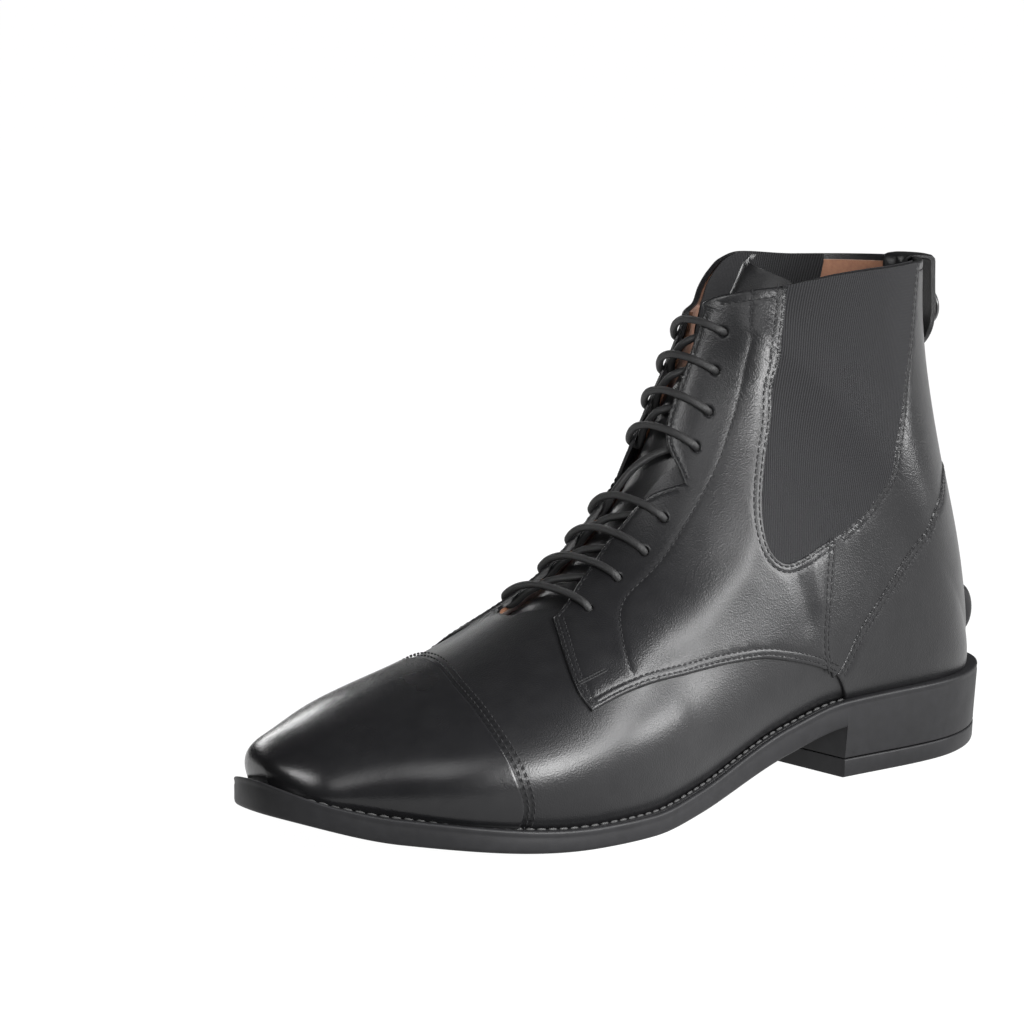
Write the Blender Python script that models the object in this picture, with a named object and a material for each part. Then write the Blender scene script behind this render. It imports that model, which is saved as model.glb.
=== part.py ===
"""Jodhpur boot for the left foot: a leather ankle boot with elastic gores and eight lace bars.

The tables are in millimetres: x runs forward from the back of the heel, y to the outer side of
the foot and z up from the floor. The scene is in metres, with the origin under the boot's middle.
"""
import bmesh
import bpy
import numpy as np

MM = 0.001

# Sole and heel
SOLE_LENGTH = 290.0
HEEL_BREAST = 0.30
LIFT_THICKNESS = 6.0
HEEL_TAPER = 1.2
EDGE_BEVEL = 0.9
LIP_WIDTH = 1.8
LIP_DEPTH = 2.0
WELT_THICKNESS = 1.4
WELT_MARGIN = 0.9
INSOLE_THICKNESS = 3.0
INSOLE_MARGIN = 5.0

# Leather and elastic
WALL = 2.2
CLEARANCE = 0.45
LEATHER = 1.1
ELASTIC = 0.6
SEAM_TRIM = 0.4
GORE_SCALE = 0.978
TONGUE_LEATHER = 1.8
TONGUE_OUTER = 0.27
TONGUE_INNER = 0.24
TONGUE_TAPER = 0.17
TONGUE_FOOT_Z = 57.0
TONGUE_TOP_Z = 166.5
TONGUE_SLOPE = 9.0
TONGUE_LEAN = 17.0
TONGUE_DIP = 1.2
TONGUE_TWIST = 0.55

# Fittings
LACE_DIAMETER = 3.0
STRAP_HALF_WIDTH = 0.085
STRAP_THICKNESS = 2.4
STRAP_BOW = 2.4
STRAP_FOOT_Z = 132.0
STRAP_TOP_Z = 164.5
STRAP_ROWS = 9
STUD_DIAMETER = 13.5
STUD_THICKNESS = 2.2
STUD_Z = 145.5
STUD_PROFILE = [(0.5, 0.0), (0.5, 0.6), (0.36, 1.0)]
SPUR_HALF_WIDTH = 0.19
SPUR_REACH = 5.0
SPUR_FOOT_Z = 38.5
SPUR_TOP_Z = 52.0
SPUR_SWELL = [0.35, 0.8, 1.0, 0.7]
SPUR_SWEEP = 0.2
PATCH_COLUMNS = 7

# Outline of the sole seen from above, as half widths at shares of the length
SOLE_COLUMNS = ("station", "outer", "inner")
SOLE_ROWS = [
    (0.00, 0.0, 0.0),
    (0.05, 23.3, 23.3),
    (0.13, 35.0, 34.5),
    (0.25, 37.2, 34.5),
    (0.40, 39.3, 29.5),
    (0.52, 47.4, 34.0),
    (0.65, 57.0, 47.4),
    (0.72, 57.0, 52.0),
    (0.80, 51.5, 52.0),
    (0.90, 33.6, 41.7),
    (0.96, 19.7, 27.8),
    (1.00, 0.0, 0.0),
]

# Underside without the heel block, and thickness of the edge: arch, tread flat and toe spring
HEIGHT_COLUMNS = ("station", "underside", "thickness")
HEIGHT_ROWS = [
    (0.000, 18.8, 7.4),
    (0.300, 16.8, 8.5),
    (0.390, 12.1, 8.5),
    (0.555, 2.2, 7.0),
    (0.635, 0.0, 6.5),
    (0.710, 0.0, 6.5),
    (0.900, 5.2, 7.6),
    (1.000, 13.6, 7.6),
]

# Girths of the last, from the toe to above the collar. Each is a slice between a point of the
# ridge and a point of the sole's bed (back_z is None) or of the heel's back line.
# ridge_y is the ridge's offset, bed_* the half width at the bed, full_* the greatest half width,
# level the place of that width from foot to ridge, and low and high the fullness of the curve.
LAST_COLUMNS = (
    "ridge_x", "ridge_z", "ridge_y", "back_x", "back_z",
    "bed_outer", "bed_inner", "full_outer", "full_inner", "level", "low", "high",
)
LAST_ROWS = [
    (281.5, 21.0, -4.5, 281.5, None, 0.0, 0.0, 0.0, 0.0, 0.35, 2.0, 2.0),
    (279.0, 27.0, -7.0, 279.5, None, 6.5, 12.0, 11.0, 13.5, 0.35, 2.0, 2.0),
    (268.5, 33.0, -7.2, 270.5, None, 14.5, 25.0, 22.8, 26.6, 0.35, 2.0, 2.0),
    (249.0, 40.0, -4.7, 252.0, None, 30.5, 37.0, 39.0, 38.4, 0.35, 2.0, 2.0),
    (221.0, 48.5, -1.5, 225.5, None, 46.0, 43.0, 52.5, 44.8, 0.33, 2.0, 2.0),
    (192.0, 60.2, -1.9, 192.0, None, 50.0, 40.0, 56.3, 42.2, 0.3, 2.0, 2.0),
    (163.2, 75.9, -3.9, 150.0, None, 39.0, 24.5, 49.0, 37.0, 0.28, 2.0, 2.0),
    (142.8, 98.8, -3.1, 108.0, None, 29.0, 20.0, 42.7, 33.8, 0.3, 2.0, 2.0),
    (130.2, 122.2, -3.8, 58.0, None, 30.0, 29.0, 39.4, 32.6, 0.34, 1.95, 2.0),
    (125.2, 132.9, -3.5, 32.0, None, 26.0, 27.0, 39.2, 32.0, 0.38, 1.85, 2.0),
    (121.9, 140.1, -2.8, 16.0, None, 14.0, 17.0, 39.2, 31.7, 0.42, 1.75, 2.0),
    (120.2, 144.0, -2.2, 9.8, None, 4.0, 6.0, 39.2, 31.6, 0.44, 1.7, 2.0),
    (119.0, 146.8, -1.8, 7.6, None, 0.0, 0.0, 39.2, 31.5, 0.45, 1.65, 2.0),
    (117.1, 151.3, -1.4, 8.3, 45.0, 0.0, 0.0, 38.7, 31.5, 0.46, 1.6, 2.0),
    (114.6, 159.0, -1.8, 13.5, 73.0, 0.0, 0.0, 35.9, 31.6, 0.48, 1.6, 2.0),
    (113.1, 166.0, -2.8, 22.0, 110.0, 0.0, 0.0, 34.0, 32.3, 0.5, 1.6, 2.0),
    (112.2, 172.0, -3.4, 27.0, 140.0, 0.0, 0.0, 34.0, 33.5, 0.5, 1.6, 2.0),
    (111.7, 179.0, -3.2, 28.0, 173.0, 0.0, 0.0, 35.8, 34.5, 0.5, 1.6, 2.0),
]
HEEL_ROW = 12

# Height of the collar, from the front edge (0) round each side to the back (1)
RIM_COLUMNS = ("around", "outer", "inner")
RIM_ROWS = [
    (0.000, 151.0, 146.5),
    (0.030, 153.6, 147.0),
    (0.070, 155.2, 147.6),
    (0.150, 157.1, 148.6),
    (0.235, 158.5, 150.0),
    (0.310, 160.2, 154.5),
    (0.380, 161.7, 159.3),
    (0.430, 162.4, 162.6),
    (0.500, 163.1, 164.6),
    (0.650, 163.6, 163.3),
    (1.000, 163.3, 163.3),
]

# Edges of the throat, from its foot up to the collar, with the notch between the two lace groups
THROAT_COLUMNS = ("ridge_z", "outer_y", "inner_y")
THROAT_ROWS = [
    (61.9, 12.4, -21.0),
    (65.6, 9.5, -20.5),
    (70.4, 5.2, -19.9),
    (74.3, 3.6, -19.4),
    (80.2, 2.2, -18.6),
    (85.8, 3.2, -17.8),
    (91.5, 4.6, -17.6),
    (96.0, 7.5, -18.6),
    (99.4, 11.0, -20.1),
    (103.3, 14.8, -21.5),
    (106.0, 11.0, -20.0),
    (108.8, 6.3, -18.1),
    (112.9, 2.7, -16.8),
    (127.0, 1.0, -15.6),
    (143.6, -0.6, -14.1),
]
THROAT_FOOT_Z = 60.6

# Seams on the side of the boot, the same on both sides, as points (x, z)
QUARTER_FRONT = [(195.7, 53.8), (200.9, 46.8), (202.3, 41.8), (201.8, 39.1)]
QUARTER_FOOT = [
    (191.9, 41.8), (181.5, 43.5), (164.1, 44.7), (149.6, 45.5),
    (137.7, 45.8), (126.8, 45.2), (114.6, 42.6), (99.8, 37.9),
]
QUARTER_END = (93.8, 35.2)
SIDE_SEAM = [(97.8, 44.0), (97.4, 52.5), (95.2, 63.5)]
GORE_CORNER = (91.5, 79.6)
GORE_FOOT = [(103.5, 75.2), (114.2, 72.9)]
GORE_FRONT = [(120.3, 80.5), (119.0, 89.5), (115.1, 99.9), (109.8, 115.0), (105.6, 132.3), (102.9, 144.6)]
GORE_FRONT_TOP = 100.2
GORE_BACK = [(81.5, 85.6), (72.8, 94.3), (69.0, 103.0), (65.6, 112.7), (60.2, 126.6), (54.3, 141.2)]
GORE_BACK_TOP = 49.3
COUNTER_SEAM = [
    (86.5, 46.3), (78.5, 55.0), (70.5, 63.2), (62.0, 72.2), (53.5, 80.6), (45.0, 88.0), (37.0, 93.6),
]
COUNTER_TOP_Z = 100.0

# Back edge of the toe cap: the girth it crosses at places around the toe, outer side positive
CAP_COLUMNS = ("around", "girth")
CAP_ROWS = [
    (-1.00, 0.186),
    (-0.85, 0.187),
    (-0.70, 0.191),
    (-0.50, 0.197),
    (-0.30, 0.198),
    (-0.12, 0.192),
    (0.02, 0.180),
    (0.12, 0.168),
    (0.22, 0.161),
    (0.33, 0.157),
    (0.42, 0.156),
    (0.52, 0.158),
    (0.63, 0.162),
    (0.79, 0.170),
    (1.00, 0.172),
]

# Steps along the seams, where the panels on both sides share their points, and along the last
GIRTH_STEP = 0.030
TOE_STEP = 0.040
PANEL_STEPS = 8
FOOT_STEPS = PANEL_STEPS + 2
SIDE_STEPS = 6
GORE_STEPS = len(THROAT_ROWS) - 1
COUNTER_STEPS = 15
RISE_STEPS = 5
RIM_START = 0.02
RIM_NEAR = 0.985
TOE_END = 0.02

# Lace holes on the outer side (x, z), from the top pair down; the inner side mirrors their places
EYELETS = [
    (116.4, 143.9), (120.4, 131.9), (124.9, 119.4), (130.9, 108.8),
    (145.7, 87.7), (154.5, 78.1), (164.8, 70.7), (178.5, 63.1),
]

# name: red, green, blue, roughness, metallic
FINISHES = {
    "leather": (0.018, 0.017, 0.018, 0.36, 0.0),
    "lining": (0.30, 0.15, 0.10, 0.75, 0.0),
    "elastic": (0.012, 0.012, 0.013, 0.85, 0.0),
    "rubber": (0.035, 0.035, 0.037, 0.55, 0.0),
    "cord": (0.015, 0.015, 0.016, 0.6, 0.0),
    "stud": (0.02, 0.02, 0.022, 0.3, 0.0),
}


def column(table, columns, name):
    """One named column of a table."""
    place = columns.index(name)
    return np.array([row[place] for row in table], float)


def natural_spline(knots, values, at):
    """A curve with steady bends through the values, one row for each knot."""
    knots, values, at = (np.asarray(part, float) for part in (knots, values, at))
    count = len(knots)
    gaps = np.diff(knots)
    system = np.eye(count)
    load = np.zeros_like(values)
    slopes = np.diff(values, axis=0) / gaps.reshape(-1, *[1] * (values.ndim - 1))
    for i in range(1, count - 1):
        system[i, i - 1 : i + 2] = gaps[i - 1], 2 * (gaps[i - 1] + gaps[i]), gaps[i]
        load[i] = 6 * (slopes[i] - slopes[i - 1])
    bends = np.linalg.solve(system, load)
    k = np.clip(np.searchsorted(knots, at, side="right") - 1, 0, count - 2)
    wide = (..., None) if values.ndim > 1 else ...
    gap, left, right = gaps[k][wide], (at - knots[k])[wide], (knots[k + 1] - at)[wide]
    cubic = (bends[k] * right**3 + bends[k + 1] * left**3) / (6 * gap)
    start = (values[k] / gap - bends[k] * gap / 6) * right
    return cubic + start + (values[k + 1] / gap - bends[k + 1] * gap / 6) * left


def steady_curve(knots, values, at):
    """A curve through the values that never swings past them, so that flats stay flat."""
    knots, values, at = (np.asarray(part, float) for part in (knots, values, at))
    gaps = np.diff(knots)
    slopes = np.diff(values) / gaps
    tilt = np.concatenate([slopes[:1], np.zeros(len(slopes) - 1), slopes[-1:]])
    for i in range(1, len(slopes)):
        if slopes[i - 1] * slopes[i] > 0:
            before, after = 2 * gaps[i] + gaps[i - 1], gaps[i] + 2 * gaps[i - 1]
            tilt[i] = (before + after) / (before / slopes[i - 1] + after / slopes[i])
    k = np.clip(np.searchsorted(knots, at, side="right") - 1, 0, len(gaps) - 1)
    t = (at - knots[k]) / gaps[k]
    ends = values[k] * (1 + 2 * t) * (1 - t) ** 2 + values[k + 1] * t * t * (3 - 2 * t)
    return ends + gaps[k] * (tilt[k] * t * (1 - t) ** 2 + tilt[k + 1] * t * t * (t - 1))


# The sole's outline and heights

def turn_of(station):
    """Places along the sole, crowded at heel and toe so that both ends come out round."""
    return np.arccos(np.clip(1 - 2 * np.asarray(station, float), -1, 1)) / np.pi


def sole_outline(turn, side):
    """Point (x, y) of the outline on one side: +1 outer, -1 inner."""
    name = "outer" if side > 0 else "inner"
    knots = turn_of(column(SOLE_ROWS, SOLE_COLUMNS, "station"))
    width = natural_spline(knots, column(SOLE_ROWS, SOLE_COLUMNS, name), turn)
    return np.stack([SOLE_LENGTH * (1 - np.cos(np.pi * turn)) / 2, side * width], axis=-1)


def sole_edge(station, inset, side):
    """The outline moved inwards, square to itself."""
    turn = turn_of(station)
    step = 1e-4
    along = sole_outline(turn + step, side) - sole_outline(turn - step, side)
    along /= np.linalg.norm(along, axis=-1, keepdims=True)
    inwards = side * np.stack([along[..., 1], -along[..., 0]], axis=-1)
    return sole_outline(turn, side) + inset * inwards


def height(name, station):
    knots = column(HEIGHT_ROWS, HEIGHT_COLUMNS, "station")
    return steady_curve(knots, column(HEIGHT_ROWS, HEIGHT_COLUMNS, name), station)


def rim_height(station):
    return height("underside", station) + height("thickness", station)


def bed_height(x):
    """Height of the bed inside the sole's lip, where the upper and the insole sit."""
    return rim_height(np.clip(np.asarray(x, float) / SOLE_LENGTH, 0, 1)) - LIP_DEPTH


# The last: a chart of (girth, around), with around 0 at the ridge and +-1 at the bed or the back

def last_table():
    rows = []
    for row in LAST_ROWS:
        place = dict(zip(LAST_COLUMNS, row))
        if place["back_z"] is None:
            place["back_z"] = float(bed_height(place["back_x"])) + CLEARANCE
        rows.append([place[name] for name in LAST_COLUMNS])
    return np.array(rows)


LAST = last_table()


def girth_places():
    """Each girth's place from 0 at the toe to 1 at the top, by the mean distance walked."""
    ridge, back = LAST[:, :2], LAST[:, 3:5]
    steps = np.linalg.norm(np.diff(ridge, axis=0), axis=1)
    steps = steps + np.linalg.norm(np.diff(back, axis=0), axis=1)
    walked = np.concatenate([[0], np.cumsum(steps)])
    return walked / walked[-1]


GIRTHS = girth_places()
HEEL_GIRTH = GIRTHS[HEEL_ROW]


def girth(place):
    """The last's measures at a girth. Two mirrored rows before the toe make its end round."""
    before = LAST[[2, 1]].copy()
    before[:, :2] = 2 * before[:, 3:5] - before[:, :2]
    before[:, 5:9] *= -1
    knots = np.concatenate([-GIRTHS[[2, 1]], GIRTHS])
    values = natural_spline(knots, np.vstack([before, LAST]), place)
    on_bed = np.asarray(place) < HEEL_GIRTH
    values[..., 4] = np.where(on_bed, bed_height(values[..., 3]) + CLEARANCE, values[..., 4])
    values[..., 5:7] = np.where(on_bed[..., None], values[..., 5:7], 0.0)
    return {name: values[..., i] for i, name in enumerate(LAST_COLUMNS)}


def last_point(place, around):
    """Point of the last's surface, in millimetres."""
    place, around = np.broadcast_arrays(np.asarray(place, float), np.asarray(around, float))
    around = np.where(around > 1, around - 2, np.where(around < -1, around + 2, around))
    at = girth(place)
    outer = around >= 0
    up = np.cos(np.pi * around / 2) ** 2
    bed = np.where(outer, at["bed_outer"], at["bed_inner"])
    full = np.where(outer, at["full_outer"], at["full_inner"])
    below = np.clip(1 - up / at["level"], 0, 1)
    above = np.clip((up - at["level"]) / (1 - at["level"]), 0, 1)
    low = bed + (full - bed) * (1 - below ** at["low"]) ** (1 / at["low"])
    high = full * (1 - above ** at["high"]) ** (1 / at["high"])
    width = np.where(up < at["level"], low, high)
    x = at["back_x"] + (at["ridge_x"] - at["back_x"]) * up
    z = at["back_z"] + (at["ridge_z"] - at["back_z"]) * up
    y = at["ridge_y"] * up + np.where(outer, width, -width)
    return np.stack([x, y, z], axis=-1)


def last_normal(place, around):
    """Unit normal of the last's surface, pointing out."""
    place, around = np.broadcast_arrays(np.asarray(place, float), np.asarray(around, float))
    around = np.where(around > 1, around - 2, np.where(around < -1, around + 2, around))
    step = 2e-3
    place = np.maximum(place, 2 * step)
    on_bed = place < HEEL_GIRTH
    ahead = np.where(on_bed, np.minimum(around + step, 1), around + step)
    behind = np.where(on_bed, np.maximum(around - step, -1), around - step)
    across = last_point(place, ahead) - last_point(place, behind)
    along = last_point(np.minimum(place + step, 1), around) - last_point(place - step, around)
    normal = np.cross(across, along)
    return normal / np.linalg.norm(normal, axis=-1, keepdims=True)


def offset_point(place, around, distance):
    """Point at a distance outside the last's surface."""
    shift = last_normal(place, around) * np.asarray(distance, float)[..., None]
    return last_point(place, around) + shift


# Places on the chart

def place_on_side(x, z, side):
    """Chart place of a side-view point (x, z) on one side of the last."""
    places = np.linspace(TOE_END, 1, 800)
    at = girth(places)
    back = np.stack([at["back_x"], at["back_z"]], axis=-1)
    slice_line = np.stack([at["ridge_x"], at["ridge_z"]], axis=-1) - back
    reach = np.array([x, z]) - back
    turn = slice_line[:, 0] * reach[:, 1] - slice_line[:, 1] * reach[:, 0]
    crossing = np.nonzero(np.diff(np.sign(turn)))[0]
    k = crossing[0]
    share = turn[k] / (turn[k] - turn[k + 1])
    up = (slice_line * reach).sum(axis=1) / (slice_line**2).sum(axis=1)
    up = np.clip(up[k] + share * (up[k + 1] - up[k]), 0, 1)
    place = places[k] + share * (places[k + 1] - places[k])
    return place, side * 2 / np.pi * np.arccos(np.sqrt(up))


def place_on_ridge(ridge_z):
    """Girth whose ridge point has this height."""
    places = np.linspace(GIRTHS[3], 1, 600)
    return np.interp(ridge_z, girth(places)["ridge_z"], places)


def around_at(place, y):
    """Place across a girth, near the ridge, where the surface has this y."""
    across = np.linspace(-0.7, 0.7, 561)
    return np.interp(y, last_point(place, across)[:, 1], across)


def throat_edge(side):
    """Chart points of one throat edge, from the foot up."""
    name = "outer_y" if side > 0 else "inner_y"
    places = place_on_ridge(column(THROAT_ROWS, THROAT_COLUMNS, "ridge_z"))
    edges = column(THROAT_ROWS, THROAT_COLUMNS, name)
    return [(place, around_at(place, y)) for place, y in zip(places, edges)]


def level_place(around, level):
    """Girth at which the surface behind the instep has this height, at a place around the boot."""
    places = np.linspace(0.5, 1, 600)
    return np.interp(level, last_point(places, around)[:, 2], places)


def rim_place(around):
    """Girth at which the collar's edge crosses this place around the boot."""
    name = "outer" if around >= 0 else "inner"
    knots = column(RIM_ROWS, RIM_COLUMNS, "around")
    level = steady_curve(knots, column(RIM_ROWS, RIM_COLUMNS, name), abs(around))
    return level_place(around, level)


def rim_point(x, side):
    """Chart place where the collar's edge passes over x on one side."""
    around = np.linspace(RIM_START, 1 - RIM_START, 120) * side
    places = np.array([rim_place(a) for a in around])
    k = np.argmin(abs(last_point(places, around)[:, 0] - x))
    return places[k], around[k]


def back_place(z):
    """Girth whose back point has this height."""
    places = np.linspace(HEEL_GIRTH, 1, 400)
    return np.interp(z, girth(places)["back_z"], places)


# Meshes

def world(points):
    """Millimetres in the tables' frame to metres about the point under the boot's middle."""
    turns = np.linspace(0, 1, 400)
    spread = [sole_outline(turns, side)[:, 1] for side in (1, -1)]
    middle = (spread[0].max() + spread[1].min()) / 2
    return (np.asarray(points, float) - [SOLE_LENGTH / 2, middle, 0]) * MM


def finish(name):
    material = bpy.data.materials.get(name)
    if material is None:
        material = bpy.data.materials.new(name)
        material.use_nodes = True
        red, green, blue, roughness, metallic = FINISHES[name]
        shader = material.node_tree.nodes["Principled BSDF"]
        shader.inputs["Base Color"].default_value = (red, green, blue, 1)
        shader.inputs["Roughness"].default_value = roughness
        shader.inputs["Metallic"].default_value = metallic
        material.diffuse_color = (red, green, blue, 1)
    return material


def solid(name, points, faces, look):
    """A closed object from points in millimetres, with meeting points merged."""
    mesh = bpy.data.meshes.new(name)
    shape = bmesh.new()
    corners = [shape.verts.new(point) for point in world(points)]
    for face in faces:
        shape.faces.new([corners[i] for i in face])
    bmesh.ops.remove_doubles(shape, verts=shape.verts, dist=0.02 * MM)
    bmesh.ops.dissolve_degenerate(shape, edges=shape.edges, dist=0.01 * MM)
    bmesh.ops.triangulate(shape, faces=shape.faces)
    bmesh.ops.recalc_face_normals(shape, faces=shape.faces)
    shape.to_mesh(mesh)
    shape.free()
    mesh.shade_smooth()
    mesh.set_sharp_from_angle(angle=np.radians(35))
    made = bpy.data.objects.new(name, mesh)
    made.data.materials.append(finish(look))
    bpy.context.scene.collection.objects.link(made)
    return made


def ladder(name, rings, look):
    """A solid from rings of (outer edge, inner edge), top to bottom, closed across both ends."""
    count = len(rings[0][0])
    points = np.concatenate([edge for ring in rings for edge in ring])

    def at(ring, side, i):
        return (2 * ring + side) * count + i

    faces = []
    last = len(rings) - 1
    for i in range(count - 1):
        faces.append([at(0, 0, i), at(0, 0, i + 1), at(0, 1, i + 1), at(0, 1, i)])
        faces.append([at(last, 0, i), at(last, 1, i), at(last, 1, i + 1), at(last, 0, i + 1)])
        for ring in range(last):
            for side in (0, 1):
                faces.append([at(ring, side, i), at(ring + 1, side, i),
                              at(ring + 1, side, i + 1), at(ring, side, i + 1)])
    for ring in range(last):
        for i in (0, count - 1):
            faces.append([at(ring, 0, i), at(ring, 1, i), at(ring + 1, 1, i), at(ring + 1, 0, i)])
    return solid(name, points, faces, look)


def wall_faces(rows, columns, first):
    """Faces of a grid of points stored row by row."""
    return [
        [first + r * columns + c, first + r * columns + c + 1,
         first + (r + 1) * columns + c + 1, first + (r + 1) * columns + c]
        for r in range(rows - 1) for c in range(columns - 1)
    ]


def slab(grids, low, high):
    """Points and faces of a wall over one or more chart grids that share edges.

    The outer and inner skins are joined along every edge that only one grid cell has."""
    chart = np.concatenate([grid.reshape(-1, 2) for grid in grids])
    middle = np.round(last_point(chart[:, 0], chart[:, 1]), 2)
    _, owner = np.unique(middle, axis=0, return_inverse=True)
    owner = owner.reshape(-1)
    skin = []
    first = 0
    for grid in grids:
        skin += wall_faces(grid.shape[0], grid.shape[1], first)
        first += grid.shape[0] * grid.shape[1]
    outside, inside = (
        offset_point(chart[:, 0], chart[:, 1], np.broadcast_to(distance, chart.shape[:1]))
        for distance in (high, low)
    )
    for points in (outside, inside):
        for axis in range(3):
            total = np.bincount(owner, weights=points[:, axis])
            points[:, axis] = (total / np.bincount(owner))[owner]
    count = len(chart)
    faces = skin + [[i + count for i in reversed(face)] for face in skin]
    seen = {}
    for face in skin:
        for a, b in zip(face, face[1:] + face[:1]):
            key = tuple(sorted((owner[a], owner[b])))
            if key[0] != key[1]:
                seen.setdefault(key, []).append((a, b))
    for ends in seen.values():
        if len(ends) == 1:
            a, b = ends[0]
            faces.append([b, a, a + count, b + count])
    return np.concatenate([outside, inside]), faces


def patch(low, high, start, end):
    """A chart grid filled in between four edges that meet at the corners."""
    along = np.linspace(0, 1, len(low))[None, :, None]
    up = np.linspace(0, 1, len(start))[:, None, None]
    ruled = low * (1 - up) + high * up + start[:, None] * (1 - along) + end[:, None] * along
    foot = low[0] * (1 - along) + low[-1] * along
    head = high[0] * (1 - along) + high[-1] * along
    return ruled - foot * (1 - up) - head * up


def straight(start, end, segments):
    """Chart points in a line from start to end."""
    return start + (end - start) * np.linspace(0, 1, segments + 1)[:, None]


def cut_back(chart, at_start, at_end):
    """A chart line whose two end points are moved inwards by real lengths."""
    points = last_point(chart[:, 0], chart[:, 1])
    steps = np.linalg.norm(np.diff(points, axis=0), axis=1)
    line = chart.copy()
    if steps[0] > 2 * at_start:
        line[0] += (chart[1] - chart[0]) * at_start / steps[0]
    if steps[-1] > 2 * at_end:
        line[-1] += (chart[-2] - chart[-1]) * at_end / steps[-1]
    return line


def trimmed(grid, sides=(1, 1), ends=(1, 1)):
    """A panel's grid cut back by the seam gap at its sides (columns) and ends (rows)."""
    grid = grid.copy()
    for c in range(grid.shape[1]):
        grid[:, c] = cut_back(grid[:, c], SEAM_TRIM * ends[0], SEAM_TRIM * ends[1])
    for r in range(grid.shape[0]):
        grid[r] = cut_back(grid[r], SEAM_TRIM * sides[0], SEAM_TRIM * sides[1])
    return grid


# Sub-parts

def make_outsole():
    """The unit sole with its heel block: lip, bed, side wall and a square heel breast."""
    heel = (1 - np.cos(np.linspace(0, 1, 12) * np.arccos(1 - 2 * HEEL_BREAST))) / 2
    start = np.arccos(1 - 2 * HEEL_BREAST)
    fore = (1 - np.cos(start + np.linspace(0, 1, 33) * (np.pi - start))) / 2
    station = np.concatenate([heel, fore])
    on_heel = np.arange(len(station)) < len(heel)
    foot_inset = np.where(on_heel, HEEL_TAPER, EDGE_BEVEL)[:, None]

    def under_height(at):
        return height("underside", at)

    def foot_height(at):
        return np.where(on_heel, LIFT_THICKNESS + CLEARANCE, under_height(at))

    def ring(inset, surface, rise):
        edges = [sole_edge(station, inset, side) for side in (1, -1)]
        return [np.column_stack([edge, surface(edge[:, 0] / SOLE_LENGTH) + rise]) for edge in edges]

    rings = [
        ring(LIP_WIDTH, rim_height, -LIP_DEPTH),
        ring(LIP_WIDTH, rim_height, 0.0),
        ring(EDGE_BEVEL / 2, rim_height, 0.0),
        ring(0.0, rim_height, -EDGE_BEVEL),
        ring(0.0, under_height, EDGE_BEVEL),
        ring(foot_inset, foot_height, 0.0),
    ]
    ladder("outsole", rings, "rubber")


def make_heel_lift():
    """The heel's replaceable top piece, whose underside is the heel's flat spot."""
    station = (1 - np.cos(np.linspace(0, 1, 12) * np.arccos(1 - 2 * HEEL_BREAST))) / 2
    rings = []
    for inset, level in ((HEEL_TAPER, LIFT_THICKNESS), (HEEL_TAPER + 0.3, EDGE_BEVEL),
                         (HEEL_TAPER + EDGE_BEVEL, 0.0)):
        edges = [sole_edge(station, inset, side) for side in (1, -1)]
        rings.append([np.column_stack([edge, np.full(len(edge), level)]) for edge in edges])
    ladder("heel_lift", rings, "rubber")


def above_bed(place, rise):
    """Place across a girth where the surface is this high over its own lower edge."""
    at = girth(place)
    level = bed_height(at["back_x"]) + CLEARANCE + rise
    up = np.clip((level - at["back_z"]) / (at["ridge_z"] - at["back_z"]), 0, 1)
    return 2 / np.pi * np.arccos(np.sqrt(up))


def bed_line(places, side, rise, outwards):
    """The upper's plan outline at a height over the bed, moved outwards, as points (x, y)."""
    step = 1e-3

    def line(at):
        return last_point(at, side * above_bed(at, rise))[:, :2]

    along = line(places + step) - line(places - step)
    along /= np.linalg.norm(along, axis=1, keepdims=True)
    return line(places) + side * outwards * np.stack([along[:, 1], -along[:, 0]], axis=-1)


def make_insole():
    """The inner sole, which fills the bed inside the upper's wall."""
    places = HEEL_GIRTH * np.linspace(0.0, 0.955, 26) ** 1.3
    rings = []
    for level in (INSOLE_THICKNESS + CLEARANCE, CLEARANCE):
        edges = [bed_line(places, side, 0.0, -INSOLE_MARGIN) for side in (1, -1)]
        rings.append([np.column_stack([edge, bed_height(edge[:, 0]) + level]) for edge in edges])
    ladder("insole", rings, "lining")


def make_welt():
    """The stitched strip in the groove between the sole's lip and the upper."""
    end = place_on_side(HEEL_BREAST * SOLE_LENGTH, bed_height(HEEL_BREAST * SOLE_LENGTH) + 1, 1)[0]
    places = end * np.linspace(0, 1, 28) ** 1.2
    tip, heel = last_point(0.0, 1.0)[0], last_point(end, 1.0)[0]
    reach = (tip - last_point(places, np.ones(len(places)))[:, 0]) / (tip - heel)
    station = 1 - reach * (1 - HEEL_BREAST)
    walls = []
    for side in (1, -1):
        inner = bed_line(places, side, WELT_THICKNESS, WELT_MARGIN)
        outer = sole_edge(station, LIP_WIDTH + 2 * CLEARANCE, side)
        walls.append((outer, inner))
    outer = np.concatenate([walls[0][0][::-1], walls[1][0][1:]])
    inner = np.concatenate([walls[0][1][::-1], walls[1][1][1:]])
    rings = []
    for level in (WELT_THICKNESS + CLEARANCE, CLEARANCE):
        rings.append([np.column_stack([edge, bed_height(edge[:, 0]) + level])
                      for edge in (outer, inner)])
    ladder("welt", rings, "leather")


def closer(line, longest):
    """A chart line with points added so that no step from girth to girth is longer than this."""
    pieces = [line[:1]]
    for start, end in zip(line[:-1], line[1:]):
        pieces.append(straight(start, end, int(np.ceil((end[0] - start[0]) / longest)))[1:])
    return np.concatenate(pieces)


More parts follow.
